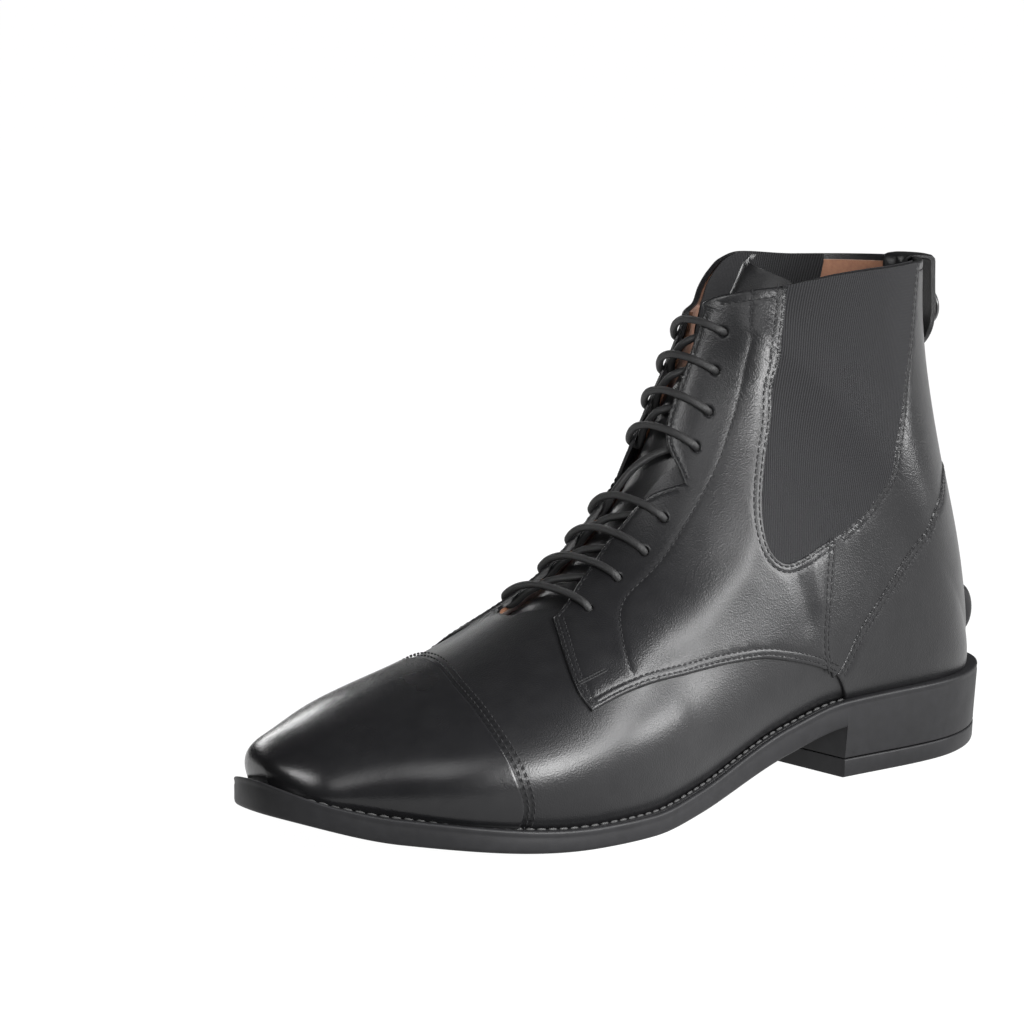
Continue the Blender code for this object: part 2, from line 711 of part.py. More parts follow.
def upper_grid(side, across):
    """Chart grid of one half of the upper, from toe to collar and from throat to bed or back."""
    throat = np.array(throat_edge(side))
    top = rim_place(RIM_START * side)
    throat = throat[throat[:, 0] < RIM_NEAR * top]
    edge = closer(np.vstack([throat, [top, throat[-1, 1]]]), GIRTH_STEP)
    toe = closer(np.array([[0.0, 0.0], [place_on_ridge(THROAT_FOOT_Z), 0.0]]), TOE_STEP)
    share = np.concatenate([toe[:, 0] / rim_place(0.0), edge[:, 0] / top])
    start = np.abs(np.concatenate([toe[:, 1], edge[:, 1]]))
    spread = np.linspace(0, 1, across)
    around = side * (start[:, None] + (1 - start[:, None]) * spread)
    rim = np.array([[rim_place(a) for a in row] for row in around])
    return np.stack([share[:, None] * rim, around], axis=-1)


def make_upper():
    """The hollow upper on its last: open at collar, throat and underneath."""
    grids = [upper_grid(side, 11) for side in (1, -1)]
    points, faces = slab(grids, -WALL, 0.0)
    return solid("upper", points, faces, "leather")


def make_toe_cap():
    """The cap over the toe."""
    spread = np.linspace(-1, 1, 17)
    around, crossed = (column(CAP_ROWS, CAP_COLUMNS, name) for name in CAP_COLUMNS)
    back = steady_curve(around, crossed, spread)
    share = np.linspace(0, 1, 11)[:, None] ** 1.4
    places = share * back
    around = spread * above_bed(places, LIP_DEPTH + 3 * CLEARANCE)
    leather_panel("toe_cap", [np.stack([places, around], axis=-1)])


def lengths(line):
    """Real length walked to each point of a chart line."""
    steps = np.diff(last_point(line[:, 0], line[:, 1]), axis=0)
    return np.concatenate([[0], np.cumsum(np.linalg.norm(steps, axis=1))])


def even_line(line, segments):
    """A chart line in steps of equal real length."""
    walked = lengths(line)
    even = np.linspace(0, walked[-1], segments + 1)
    return np.stack([np.interp(even, walked, line[:, i]) for i in (0, 1)], axis=-1)


def walked_line(landmarks, segments):
    """A smooth chart line through the landmarks, in steps of equal real length."""
    chart = np.array(landmarks, float)
    walked = lengths(chart)
    return even_line(natural_spline(walked, chart, np.linspace(0, walked[-1], 300)), segments)


def seam_lines(side):
    """Chart lines of the seams, so that panels on both sides of a seam share its points."""

    def spots(points):
        return [place_on_side(x, z, side) for x, z in points]

    end, corner = spots([QUARTER_END, GORE_CORNER])
    gore_foot = spots(GORE_FOOT)
    throat = throat_edge(side)
    throat[-1] = (rim_place(throat[-1][1]), throat[-1][1])
    counter_top = back_place(COUNTER_TOP_Z)
    front = spots(QUARTER_FRONT)
    gore_front = spots(GORE_FRONT) + [rim_point(GORE_FRONT_TOP, side)]
    gore_back = spots(GORE_BACK) + [rim_point(GORE_BACK_TOP, side)]
    counter = [end] + spots(COUNTER_SEAM) + [(counter_top, float(side))]
    return {
        "front": np.array(front[::-1] + throat[:1]),
        "throat": np.array(throat),
        "foot": walked_line([front[-1]] + spots(QUARTER_FOOT) + [end], FOOT_STEPS),
        "side": walked_line([end] + spots(SIDE_SEAM) + [corner], SIDE_STEPS),
        "gore_foot": np.array([corner] + gore_foot),
        "gore_front": walked_line([gore_foot[-1]] + gore_front, GORE_STEPS),
        "gore_back": walked_line([corner] + gore_back, GORE_STEPS),
        "counter": walked_line(counter, COUNTER_STEPS),
    }


def collar_line(start, end, segments):
    """Chart points along the collar's edge, between two places around the boot."""
    around = np.linspace(start[1], end[1], segments + 1)
    return np.array([(rim_place(a), a) for a in around])


def leather_panel(name, grids):
    points, faces = slab(grids, CLEARANCE, CLEARANCE + LEATHER)
    return solid(name, points, faces, "leather")


def make_quarter(side, name):
    """The front quarter with its lace facing: from the throat to the gore and the side seam."""
    seams = seam_lines(side)
    throat = seams["throat"]
    level = straight(throat[0], seams["gore_front"][0], PANEL_STEPS)
    top = collar_line(throat[-1], seams["gore_front"][-1], PANEL_STEPS)
    facing = patch(level, top, throat, seams["gore_front"])
    over = np.concatenate([level, seams["gore_foot"][-2::-1]])
    front = even_line(seams["front"], SIDE_STEPS)
    skirt = patch(seams["foot"], over, front, seams["side"])
    return leather_panel(name, [facing, skirt])


def make_gore(side, name):
    """The elastic gore, set lower than the leather round it."""
    seams = seam_lines(side)
    front, back, foot = seams["gore_front"], seams["gore_back"], seams["gore_foot"]
    low = np.concatenate([straight(foot[2], foot[1], 3), straight(foot[1], foot[0], 3)[1:]])
    grid = patch(low, collar_line(front[-1], back[-1], 6), front, back)
    middle = grid.mean(axis=(0, 1))
    points, faces = slab([middle + GORE_SCALE * (grid - middle)], CLEARANCE, CLEARANCE + ELASTIC)
    solid(name, points, faces, "elastic")


def make_back_quarter(side, name):
    """The back quarter: from the side seam and the gore to the line down the heel's back."""
    seams = seam_lines(side)
    front = np.concatenate([seams["side"], seams["gore_back"][1:]])
    centre = np.array([rim_place(float(side)), float(side)])
    back = np.concatenate([seams["counter"], straight(seams["counter"][-1], centre, RISE_STEPS)[1:]])
    low = straight(front[0], back[0], PANEL_STEPS)
    grid = patch(low, collar_line(front[-1], centre, PANEL_STEPS), front, back)
    leather_panel(name, [trimmed(grid, ends=(1, 0))])


def make_counter():
    """The heel counter, one piece round both sides of the heel."""
    seam = seam_lines(1)["counter"]
    places = np.linspace(seam[-1][0], seam[0][0], 400)
    around = above_bed(places, LIP_DEPTH + 3 * CLEARANCE)
    foot = even_line(np.column_stack([places, around]), COUNTER_STEPS)
    grids = []
    for side in (1, -1):
        seam, low = seam_lines(side)["counter"][::-1], foot * [1, side]
        tip, front = straight(seam[0], low[0], PANEL_STEPS), straight(seam[-1], low[-1], PANEL_STEPS)
        grids.append(trimmed(patch(tip, front, seam, low), sides=(1, 0), ends=(0, 1)))
    leather_panel("heel_counter", grids)


def make_tongue():
    """The tongue, under the throat from the vamp to above the collar; its top leans into the boot."""
    share = np.linspace(0, 1, 7)
    up = np.linspace(0, 1, 13)[:, None]
    lean = np.clip(2 * up - 1, 0, 1)
    inner = TONGUE_INNER - TONGUE_TAPER * lean**2
    around = TONGUE_OUTER * (1 - share) - inner * share
    levels = TONGUE_TOP_Z - TONGUE_SLOPE * (1 - share) ** 2
    foot = place_on_ridge(TONGUE_FOOT_Z)
    tops = np.array([level_place(a, level) for a, level in zip(around[-1], levels)])
    grid = np.stack([foot + up * (tops - foot), around], axis=-1)
    depth = TONGUE_DIP * (1 - up) ** 3 + TONGUE_LEAN * lean**1.5 * (1 - TONGUE_TWIST * (1 - share))
    high = -WALL - 2 * CLEARANCE - depth
    points, faces = slab([grid], (high - TONGUE_LEATHER).reshape(-1), high.reshape(-1))
    solid("tongue", points, faces, "leather")


def back_patch(low_z, high_z, half_width, rows):
    """Chart grid across the line down the heel's back."""
    levels = np.linspace(low_z, high_z, rows)
    around = 1 + half_width * np.linspace(-1, 1, PATCH_COLUMNS)
    return np.array([[(level_place(a, level), a) for a in around] for level in levels])


def make_back_strap():
    """The strap down the back of the collar, and the stud that holds it."""
    grid = back_patch(STRAP_FOOT_Z, STRAP_TOP_Z, STRAP_HALF_WIDTH, STRAP_ROWS)
    flat = CLEARANCE + LEATHER + CLEARANCE
    bow = np.sin(np.pi / 2 * np.clip(np.linspace(0, 2, STRAP_ROWS), 0, 1))
    low = flat + STRAP_BOW * bow.repeat(PATCH_COLUMNS)
    points, faces = slab([grid], low, low + STRAP_THICKNESS)
    solid("back_strap", points, faces, "leather")
    place = back_place(STUD_Z)
    out = last_normal(place, 1.0) * [1, 0, 1]
    base = last_point(place, 1.0) + out * (flat + STRAP_BOW + STRAP_THICKNESS + CLEARANCE)
    up = np.cross(out, [0, 1, 0])
    angle = np.linspace(0, 2 * np.pi, 17)[:-1]
    circle = np.outer(np.cos(angle), [0, 1, 0]) + np.outer(np.sin(angle), up)
    rings = []
    for radius, rise in STUD_PROFILE:
        rings.append(base + out * rise * STUD_THICKNESS + circle * radius * STUD_DIAMETER)
    count = len(rings[0])
    faces = [list(range(count)), [i + 2 * count for i in range(count)]]
    for ring in (0, 1):
        for i in range(count):
            j = (i + 1) % count
            faces.append([ring * count + i, ring * count + j,
                          (ring + 1) * count + j, (ring + 1) * count + i])
    solid("strap_stud", np.concatenate(rings), faces, "stud")


def make_spur_rest():
    """The ledge on the heel's back that keeps a spur up."""
    grid = back_patch(SPUR_FOOT_Z, SPUR_TOP_Z, SPUR_HALF_WIDTH, len(SPUR_SWELL))
    low = CLEARANCE + LEATHER + CLEARANCE
    sweep = 1 - SPUR_SWEEP * np.linspace(-1, 1, PATCH_COLUMNS)[None, :] ** 2
    rise = np.array(SPUR_SWELL)[:, None] * sweep * SPUR_REACH
    points, faces = slab([grid], low, low + rise.reshape(-1))
    solid("spur_rest", points, faces, "rubber")


def make_lace_bars():
    """One bar of lace across the throat for each pair of holes, lying on the facings."""
    lift = 3 * CLEARANCE + LEATHER + LACE_DIAMETER / 2
    for number, (x, z) in enumerate(EYELETS, start=1):
        place, around = place_on_side(x, z, 1)
        share = np.linspace(-1, 1, 7)
        line = offset_point(np.full(7, place), share * around, lift - 0.5 * (1 - share**2))
        bar = bpy.data.curves.new(f"lace_bar_{number}", "CURVE")
        bar.dimensions = "3D"
        bar.bevel_depth = LACE_DIAMETER / 2 * MM
        bar.bevel_resolution = 1
        bar.use_fill_caps = True
        spline = bar.splines.new("POLY")
        spline.points.add(len(line) - 1)
        for point, spot in zip(spline.points, world(line)):
            point.co = (*spot, 1)
        bar.materials.append(finish("cord"))
        made = bpy.data.objects.new(bar.name, bar)
        bpy.context.scene.collection.objects.link(made)


def main():
    for old in list(bpy.data.objects):
        bpy.data.objects.remove(old)
    make_outsole()
    make_heel_lift()
    make_welt()
    make_insole()
    make_upper()
    make_tongue()
    make_toe_cap()
    for side, word in ((1, "outer"), (-1, "inner")):
        make_quarter(side, f"quarter_{word}")
        make_back_quarter(side, f"back_quarter_{word}")
        make_gore(side, f"gore_{word}")
    make_counter()
    make_back_strap()
    make_spur_rest()
    make_lace_bars()


main()
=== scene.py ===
"""Jodhpur boot for the left foot: its leather, elastic, rubber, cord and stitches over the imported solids.

Tables and lengths are in millimetres: x runs forward from the back of the heel, y to the outer side
of the foot and z up from the floor. Finished pieces are in metres, in the solids' own frame.
"""

import bmesh
import bpy
import numpy as np
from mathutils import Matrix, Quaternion, Vector
from mathutils.geometry import delaunay_2d_cdt
from mathutils.kdtree import KDTree

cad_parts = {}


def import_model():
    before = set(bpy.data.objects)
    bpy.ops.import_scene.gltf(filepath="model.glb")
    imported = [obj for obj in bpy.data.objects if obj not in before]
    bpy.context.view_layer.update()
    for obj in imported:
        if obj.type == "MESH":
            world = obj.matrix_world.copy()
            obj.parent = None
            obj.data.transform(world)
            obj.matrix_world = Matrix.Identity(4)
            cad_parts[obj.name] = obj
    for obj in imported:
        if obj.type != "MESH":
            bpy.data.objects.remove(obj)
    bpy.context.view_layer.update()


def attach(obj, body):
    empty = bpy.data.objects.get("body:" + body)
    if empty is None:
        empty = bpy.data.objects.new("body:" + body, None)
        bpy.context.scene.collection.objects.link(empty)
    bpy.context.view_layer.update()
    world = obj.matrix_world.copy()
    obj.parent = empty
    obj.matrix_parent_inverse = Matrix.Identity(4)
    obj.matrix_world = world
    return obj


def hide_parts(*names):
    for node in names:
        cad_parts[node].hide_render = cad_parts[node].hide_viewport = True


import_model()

MM = 0.001

# Sole and heel
SOLE_LENGTH = 290.0
HEEL_BREAST = 0.30
LIFT_THICKNESS = 6.0
HEEL_TAPER = 1.2
JOINT_GAP = 0.45
LIP_WIDTH = 1.8
LIP_DEPTH = 2.0
WELT_THICKNESS = 1.4
WELT_GAP = 0.05
WELT_TUCK = 0.3
WELT_FOOT = 0.1
WELT_STITCH_LEVEL = 1.1
INSOLE_THICKNESS = 3.0
INSOLE_MARGIN = 5.0
INSOLE_END = 0.955
HEEL_LEDGE = 7.0
TOE_LIFT = 2.2
TOE_LIFT_START = 0.95

# Edges of the sole and of the heel's top piece, from the top down: inset (heel, fore part), base and rise over it
SOLE_PROFILE = [
    ((HEEL_LEDGE, LIP_WIDTH), "rim", -LIP_DEPTH), ((HEEL_LEDGE, LIP_WIDTH), "rim", -0.35),
    ((HEEL_LEDGE - 0.3, LIP_WIDTH - 0.12), "rim", -0.1), ((HEEL_LEDGE - 0.6, LIP_WIDTH - 0.35), "rim", 0.0),
    (0.75, "rim", 0.0), (0.4, "rim", -0.1), (0.14, "rim", -0.32), (0.0, "rim", -0.7),
    (0.16, "rim", -1.5), (0.16, "rim", -2.2), (0.05, "rim", -2.7),
    ((HEEL_TAPER, 0.0), "under", 1.3), ((HEEL_TAPER, 0.12), "under", 0.55),
    ((HEEL_TAPER + 0.1, 0.45), "under", 0.12), ((HEEL_TAPER + 0.35, 1.0), "under", 0.0),
]
LIFT_PROFILE = [
    (HEEL_TAPER + 0.35, "floor", LIFT_THICKNESS), (HEEL_TAPER + 0.1, "floor", LIFT_THICKNESS - 0.15),
    (HEEL_TAPER, "floor", LIFT_THICKNESS - 0.5), (HEEL_TAPER + 0.25, "floor", 0.9),
    (HEEL_TAPER + 0.45, "floor", 0.3), (HEEL_TAPER + 0.9, "floor", 0.0),
]

# The welt's skin, as shares of the way from rim to upper and of its thickness
WELT_PROFILE = [(0.0, 0.1), (0.0, 0.75), (0.12, 1.0), (0.5, 1.08), (0.88, 1.0), (1.0, 0.8)]

# The insole cover's rings: distance from the upper and height over the bed
INSOLE_PROFILE = [
    (INSOLE_MARGIN, 0.0), (INSOLE_MARGIN, INSOLE_THICKNESS - 0.8), (INSOLE_MARGIN + 0.6, INSOLE_THICKNESS),
]

# Leather and elastic
WALL = 2.2
CLEARANCE = 0.45
LEATHER = 1.1
SHELL_LEATHER = 1.1
BACK_LEATHER = 0.75
BACK_TUCK = 1.5
GORE_TUCK = 0.8
ELASTIC = 0.6
PANEL_RISE = 0.02
PANEL_SINK = 0.05
COUNTER_RISE = 0.05
SHELL_GAP = 1.2
LINING_GAP = 4.0
LINING_FOOT = 6.0
LINING_TOP = 0.996
LINING_SINK = 0.04
GORE_RISE = 0.05
GORE_LEAN = 0.22
RIB_SCALE = 430.0
GORE_INSIDE = 8.0
GORE_DEPTHS = (0.05, 0.5)
FOOT_RISE = 1.6
TONGUE_LEATHER = 1.8
TONGUE_OUTER = 0.27
TONGUE_INNER = 0.24
TONGUE_TAPER = 0.17
TONGUE_FOOT_Z = 57.0
TONGUE_TOP_Z = 168.5
TONGUE_SLOPE = 9.0
TONGUE_LEAN = 17.0
TONGUE_DIP = 1.2
TONGUE_TWIST = 0.55

# Cut edges: the low cut as a share of the thickness, and the shoulder's radius
EDGE_CUT = 0.3
EDGE_RADIUS = 0.9

# Points of a cut panel: steps along its lines, rings beside its edges, lines beside its rows, and a field between
CHART_SIZE = np.array([400.0, 90.0])
OUTLINE_STEP = 0.8
HOLE_STEP = 0.35
MEASURE_STEP = 0.2
ROW_STEP = 0.5
FIELD_STEP = 1.8
EDGE_RINGS = (0.12, 0.3, 0.55, 0.9, 1.4)
RING_SHARE = 0.8
GROOVE_SHIFTS = (-0.6, -0.3, 0.0, 0.3, 0.6)
ROW_CLEAR = 0.75
ROW_MARGIN = 0.3
FIELD_MARGIN = 0.4
POINT_CELL = 0.25

# Points along and across the other leather and elastic pieces
UPPER_GRID = (170, 70)
CAP_GRID = (110, 150)
GORE_GRID = (90, 60)
TONGUE_GRID = (140, 60)
STRAP_GRID = (60, 25)
SPUR_GRID = (30, 41)

# Points closer than these are made one, and edges bent more than this angle in degrees look sharp
WELD = 0.004
SLIVER = 0.002
SHARP_ANGLE = 50.0

# Stitches as pitch, length and width, and the groove that a row pulls into the leather
STITCH = (2.3, 1.8, 0.55)
TACK_STITCH = (0.9, 1.3, 0.7)
WELT_STITCH = (3.6, 3.0, 0.9)
STITCH_STEP = 0.6
STITCH_SINK = 0.2
GROOVE_DEPTH = 0.22
GROOVE_WIDTH = 0.5

# Distances of stitch rows from their seams
EDGE_ROWS = (1.2, 3.0)
COLLAR_ROW = 3.0
THROAT_ROW = 1.5
TACK_ROWS = (-0.45, 0.45)

# Lengths left bare at the ends of the other stitch rows
CAP_ENDS = (1.0, 1.0)
BACK_ENDS = (2.0, 0.6)
BACK_COLLAR_ENDS = (5.0, 1.0)
COUNTER_ENDS = (2.0, 1.5)

# A quarter's stitch rows: seam, distances from it, and lengths left bare at its ends, on the outer and inner side
QUARTER_ROWS = [
    ("hem", EDGE_ROWS, (2.0, 2.0), (2.0, 2.0)),
    ("gore_front", EDGE_ROWS, (3.0, 0.6), (3.0, 5.0)),
    ("facing", (0.0,), (0.6, 4.0), (45.0, 4.0)),
    ("collar", (-COLLAR_ROW,), (6.0, 5.0), (14.0, 5.0)),
    ("throat_low", (-THROAT_ROW,), (1.5, 2.5), (1.5, 2.5)),
    ("throat_high", (-THROAT_ROW,), (1.5, 2.5), (1.5, 8.0)),
    ("side", EDGE_ROWS, (4.0, 2.0), (4.0, 2.0)),
]

# Lace and its holes. A bar is given as shares of the way from hole to hole and of its height.
HOLE_DIAMETER = 3.1
HOLE_INSET = 3.6
LACE_DIAMETER = 2.45
LACE_SINK = 0.4
LACE_STEP = 0.5
LACE_SLANT = (0.2, 0.5, 0.8)
CORD_SIDES = 14
LACE_BAR = [(0.0, 0.0), (0.0, 0.45), (0.02, 0.85), (0.06, 1.0), (0.25, 1.0), (0.45, 0.98), (0.65, 1.0), (0.93, 1.0),
            (0.98, 0.85), (1.0, 0.45), (1.0, 0.0)]

# Strap, stud and spur rest. Half widths are shares of the way round the boot.
STRAP_HALF_WIDTH = 0.095
STRAP_THICKNESS = 2.4
STRAP_FLAT = 2 * CLEARANCE + LEATHER
STRAP_BOW = 4.0
STRAP_CROWN = 0.4
STRAP_FOOT_Z = 132.0
STRAP_TOP_Z = 161.5
STRAP_TIP = 0.3
STUD_DIAMETER = 13.5
STUD_THICKNESS = 2.2
STUD_Z = 145.5
STUD_SINK = 0.1
STUD_PROFILE = [(0.9, 0.0), (1.0, 0.12), (1.0, 0.5), (0.96, 0.62), (0.84, 0.72), (0.8, 0.7), (0.74, 0.78),
                (0.5, 0.93), (0.25, 0.99), (0.05, 1.0)]
SPUR_HALF_WIDTH = 0.19
SPUR_REACH = 4.8
SPUR_EDGE = 0.15
SPUR_SINK = 0.1
SPUR_FOOT_Z = 38.5
SPUR_TOP_Z = 52.0
FOLD_LEVEL = 163.0

# The strap's fold over the collar: levels and distances from the last, of its top and its underside
FOLD_OVER = [(162.6, 8.2), (163.6, 7.2), (164.0, 5.5), (164.2, 3.0), (164.2, 0.6), (163.9, -2.0), (162.9, -3.6),
             (160.0, -4.3), (156.0, -4.4)]
FOLD_UNDER = [(161.8, 5.9), (162.3, 5.4), (162.6, 4.4), (162.9, 2.6), (163.1, 0.6), (163.0, -1.2), (162.3, -2.3),
              (159.5, -2.5), (156.0, -2.5)]

# Soft ridges and troughs of the worn leather: height, width and line in side view (x, z)
RELIEF = [
    (1.0, 10.0, [(224.0, 25.0), (204.0, 28.0), (188.0, 31.0), (172.0, 33.0)]),
    (0.9, 6.0, [(178.0, 50.0), (172.0, 52.3), (150.0, 60.4), (131.0, 71.0), (123.0, 81.0), (118.0, 92.0),
                (113.5, 107.0), (110.0, 125.0), (107.7, 142.0)]),
    (0.6, 3.5, [(104.0, 73.0), (102.5, 60.0)]),
    (-0.5, 3.5, [(110.0, 68.0), (108.0, 54.0)]),
]

# Colours of the finishes, dark and light where they are mottled
LEATHER_DYE = ((0.004, 0.004, 0.0045), (0.008, 0.008, 0.0085))
LINING_DYE = ((0.1, 0.034, 0.023), (0.24, 0.115, 0.055))
# The elastic's dark and light are painted shade in the ribs' grooves and painted light on their crests.
ELASTIC_PAINTED_RIB_SHADE = ((0.004, 0.004, 0.0045), (0.012, 0.012, 0.013))
RUBBER_DYE = ((0.004, 0.004, 0.0045), (0.010, 0.010, 0.011))
# The cord's dark and light are painted shade in the braid's grooves and painted light on its strands.
CORD_PAINTED_BRAID_SHADE = ((0.004, 0.004, 0.004), (0.014, 0.014, 0.0145))
THREAD_COLOUR = (0.006, 0.006, 0.0065)
WELT_THREAD_COLOUR = (0.03, 0.03, 0.03)
STUD_COLOUR = (0.016, 0.016, 0.017)
FLOOR_COLOUR = (0.06, 0.06, 0.06)

# The photograph's view
VIEW_AZIMUTH = 140.0
VIEW_ELEVATION = 9.64
VIEW_DISTANCE = 1.1
VIEW_TARGET = (145.0, 0.0, 70.0)
VIEW_LENS = 122.28
VIEW_SENSOR = 36.0
VIEW_NEAR = 0.05
VIEW_SHIFT = (-0.1204, 0.0556)

# Floor and lamps: name, place, what it is turned to, roll in degrees, size in metres and power in watts
FLOOR_REACH = 80.0
FLOOR_GLOW = 1.0
SKY_STRENGTH = 0.05
LAMPS = [
    ("outer_side", (-0.57, 0.84, 0.82), (0.02, 0.0, 0.05), 41.0, (1.15, 0.32), 26.0),
    ("vamp", (0.07, 0.31, 0.16), (0.08, 0.04, 0.03), 0.0, (0.16, 0.16), 2.6),
    ("waist", (-0.92, 0.68, 0.42), (0.02, 0.0, 0.04), 0.0, (0.36, 0.36), 11.0),
    ("facings", (0.68, 0.58, 1.0), (-0.03, 0.0, 0.1), 0.0, (0.5, 0.5), 3.6),
    ("toe", (0.91, -0.24, 0.84), (0.12, 0.0, 0.03), 0.0, (0.3, 0.3), 6.0),
    ("back", (-0.49, -2.31, 0.8), (0.1, 0.0, 0.05), 0.0, (0.8, 0.32), 8.0),
]

# Outline of the sole seen from above, as half widths at shares of the length
SOLE_COLUMNS = ("station", "outer", "inner")
SOLE_ROWS = [
    (0.00, 0.0, 0.0),
    (0.05, 23.3, 23.3),
    (0.13, 35.0, 34.5),
    (0.25, 37.2, 34.5),
    (0.40, 39.3, 29.5),
    (0.52, 47.4, 34.0),
    (0.65, 57.0, 47.4),
    (0.72, 57.0, 52.0),
    (0.80, 51.5, 52.0),
    (0.90, 33.6, 41.7),
    (0.96, 19.7, 27.8),
    (1.00, 0.0, 0.0),
]

# Underside without the heel block, and thickness of the edge: arch, tread flat and toe spring
HEIGHT_COLUMNS = ("station", "underside", "thickness")
HEIGHT_ROWS = [
    (0.000, 18.8, 7.4),
    (0.300, 16.8, 8.5),
    (0.390, 12.1, 8.5),
    (0.555, 2.2, 7.0),
    (0.635, 0.0, 6.5),
    (0.710, 0.0, 6.5),
    (0.900, 5.2, 7.6),
    (1.000, 13.6, 7.6),
]

# Girths of the last, from the toe to above the collar. Each is a slice between a point of the
# ridge and a point of the sole's bed (back_z is None) or of the heel's back line.
# ridge_y is the ridge's offset, bed_* the half width at the bed, full_* the greatest half width,
# level the place of that width from foot to ridge, and low and high the fullness of the curve.
LAST_COLUMNS = (
    "ridge_x", "ridge_z", "ridge_y", "back_x", "back_z",
    "bed_outer", "bed_inner", "full_outer", "full_inner", "level", "low", "high",
)
LAST_ROWS = [
    (281.5, 21.0, -4.5, 281.5, None, 0.0, 0.0, 0.0, 0.0, 0.35, 2.0, 2.0),
    (279.0, 27.0, -7.0, 279.5, None, 6.5, 12.0, 11.0, 13.5, 0.35, 2.0, 2.0),
    (268.5, 33.0, -7.2, 270.5, None, 14.5, 25.0, 22.8, 26.6, 0.35, 2.0, 2.0),
    (249.0, 40.0, -4.7, 252.0, None, 30.5, 37.0, 39.0, 38.4, 0.35, 2.0, 2.0),
    (221.0, 48.5, -1.5, 225.5, None, 46.0, 43.0, 52.5, 44.8, 0.33, 2.0, 2.0),
    (192.0, 60.2, -1.9, 192.0, None, 50.0, 40.0, 56.3, 42.2, 0.3, 2.0, 2.0),
    (163.2, 75.9, -3.9, 150.0, None, 39.0, 24.5, 49.0, 37.0, 0.28, 2.0, 2.0),
    (142.8, 98.8, -3.1, 108.0, None, 29.0, 20.0, 42.7, 33.8, 0.3, 2.0, 2.0),
    (130.2, 122.2, -3.8, 58.0, None, 30.0, 29.0, 39.4, 32.6, 0.34, 1.95, 2.0),
    (125.2, 132.9, -3.5, 32.0, None, 26.0, 27.0, 39.2, 32.0, 0.38, 1.85, 2.0),
    (121.9, 140.1, -2.8, 16.0, None, 14.0, 17.0, 39.2, 31.7, 0.42, 1.75, 2.0),
    (120.2, 144.0, -2.2, 9.8, None, 4.0, 6.0, 39.2, 31.6, 0.44, 1.7, 2.0),
    (119.0, 146.8, -1.8, 7.6, None, 0.0, 0.0, 39.2, 31.5, 0.45, 1.65, 2.0),
    (117.1, 151.3, -1.4, 8.3, 45.0, 0.0, 0.0, 38.7, 31.5, 0.46, 1.6, 2.0),
    (114.6, 159.0, -1.8, 13.5, 73.0, 0.0, 0.0, 35.9, 31.6, 0.48, 1.6, 2.0),
    (113.1, 166.0, -2.8, 22.0, 110.0, 0.0, 0.0, 34.0, 32.3, 0.5, 1.6, 2.0),
    (112.2, 172.0, -3.4, 27.0, 140.0, 0.0, 0.0, 34.0, 33.5, 0.5, 1.6, 2.0),
    (111.7, 179.0, -3.2, 28.0, 173.0, 0.0, 0.0, 35.8, 34.5, 0.5, 1.6, 2.0),
]
HEEL_ROW = 12

# Height of the collar, from the front edge (0) round each side to the back (1)
RIM_COLUMNS = ("around", "outer", "inner")
RIM_ROWS = [
    (0.000, 151.0, 146.5),
    (0.030, 153.6, 147.0),
    (0.070, 155.2, 147.6),
    (0.150, 157.1, 148.6),
    (0.235, 158.5, 150.0),
    (0.310, 160.2, 154.5),
    (0.380, 161.7, 159.3),
    (0.430, 162.4, 162.6),
    (0.500, 163.1, 164.6),
    (0.650, 163.6, 163.3),
    (1.000, 163.3, 163.3),
]

# Edges of the throat, from its foot up to the collar, with the notch between the two lace groups
THROAT_COLUMNS = ("ridge_z", "outer_y", "inner_y")
THROAT_ROWS = [
    (61.9, 12.4, -21.0),
    (65.6, 9.5, -20.5),
    (70.4, 5.2, -19.9),
    (74.3, 3.6, -19.4),
    (80.2, 2.2, -18.6),
    (85.8, 3.2, -17.8),
    (91.5, 4.6, -17.6),
    (96.0, 7.5, -18.6),
    (99.4, 11.0, -20.1),
    (103.3, 14.8, -21.5),
    (106.0, 11.0, -20.0),
    (108.8, 6.3, -18.1),
    (112.9, 2.7, -16.8),
    (127.0, 1.0, -15.6),
    (143.6, -0.6, -14.1),
]
THROAT_FOOT_Z = 60.6

# Seams on the side of the boot, the same on both sides, as points (x, z)
QUARTER_FRONT = [(195.7, 53.8), (200.9, 46.8), (202.3, 41.8), (201.8, 39.1)]
QUARTER_FOOT = [
    (191.9, 41.8), (181.5, 43.5), (164.1, 44.7), (149.6, 45.5),
    (137.7, 45.8), (126.8, 45.2), (114.6, 42.6), (99.8, 37.9),
]
QUARTER_END = (93.8, 35.2)
SIDE_SEAM = [(97.8, 44.0), (97.4, 52.5), (95.2, 63.5)]
GORE_CORNER = (91.5, 79.6)
GORE_LINE = [
    (102.9, 144.6), (105.6, 132.3), (108.4, 119.8), (111.7, 109.0), (115.1, 99.9), (118.7, 89.5), (119.9, 82.5),
    (119.0, 76.8), (114.7, 73.2), (109.0, 73.4), (100.7, 76.3), (91.5, 79.6), (84.4, 83.6), (78.2, 88.2),
    (72.8, 94.3), (69.2, 102.3), (65.6, 112.7), (60.2, 126.6), (54.3, 141.2),
]
GORE_TOPS = (100.2, 49.3)
COUNTER_SEAM = [
    (86.5, 46.3), (78.5, 55.0), (70.5, 63.2), (62.0, 72.2), (53.5, 80.6), (45.0, 88.0), (37.0, 93.6),
]
COUNTER_TOP_Z = 100.0

# Back edge of the toe cap: the girth it crosses at places around the toe, outer side positive
CAP_COLUMNS = ("around", "girth")
CAP_ROWS = [
    (-1.00, 0.186),
    (-0.85, 0.187),
    (-0.70, 0.191),
    (-0.50, 0.197),
    (-0.30, 0.198),
    (-0.12, 0.192),
    (0.02, 0.180),
    (0.12, 0.168),
    (0.22, 0.161),
    (0.33, 0.157),
    (0.42, 0.156),
    (0.52, 0.158),
    (0.63, 0.162),
    (0.79, 0.170),
    (1.00, 0.172),
]

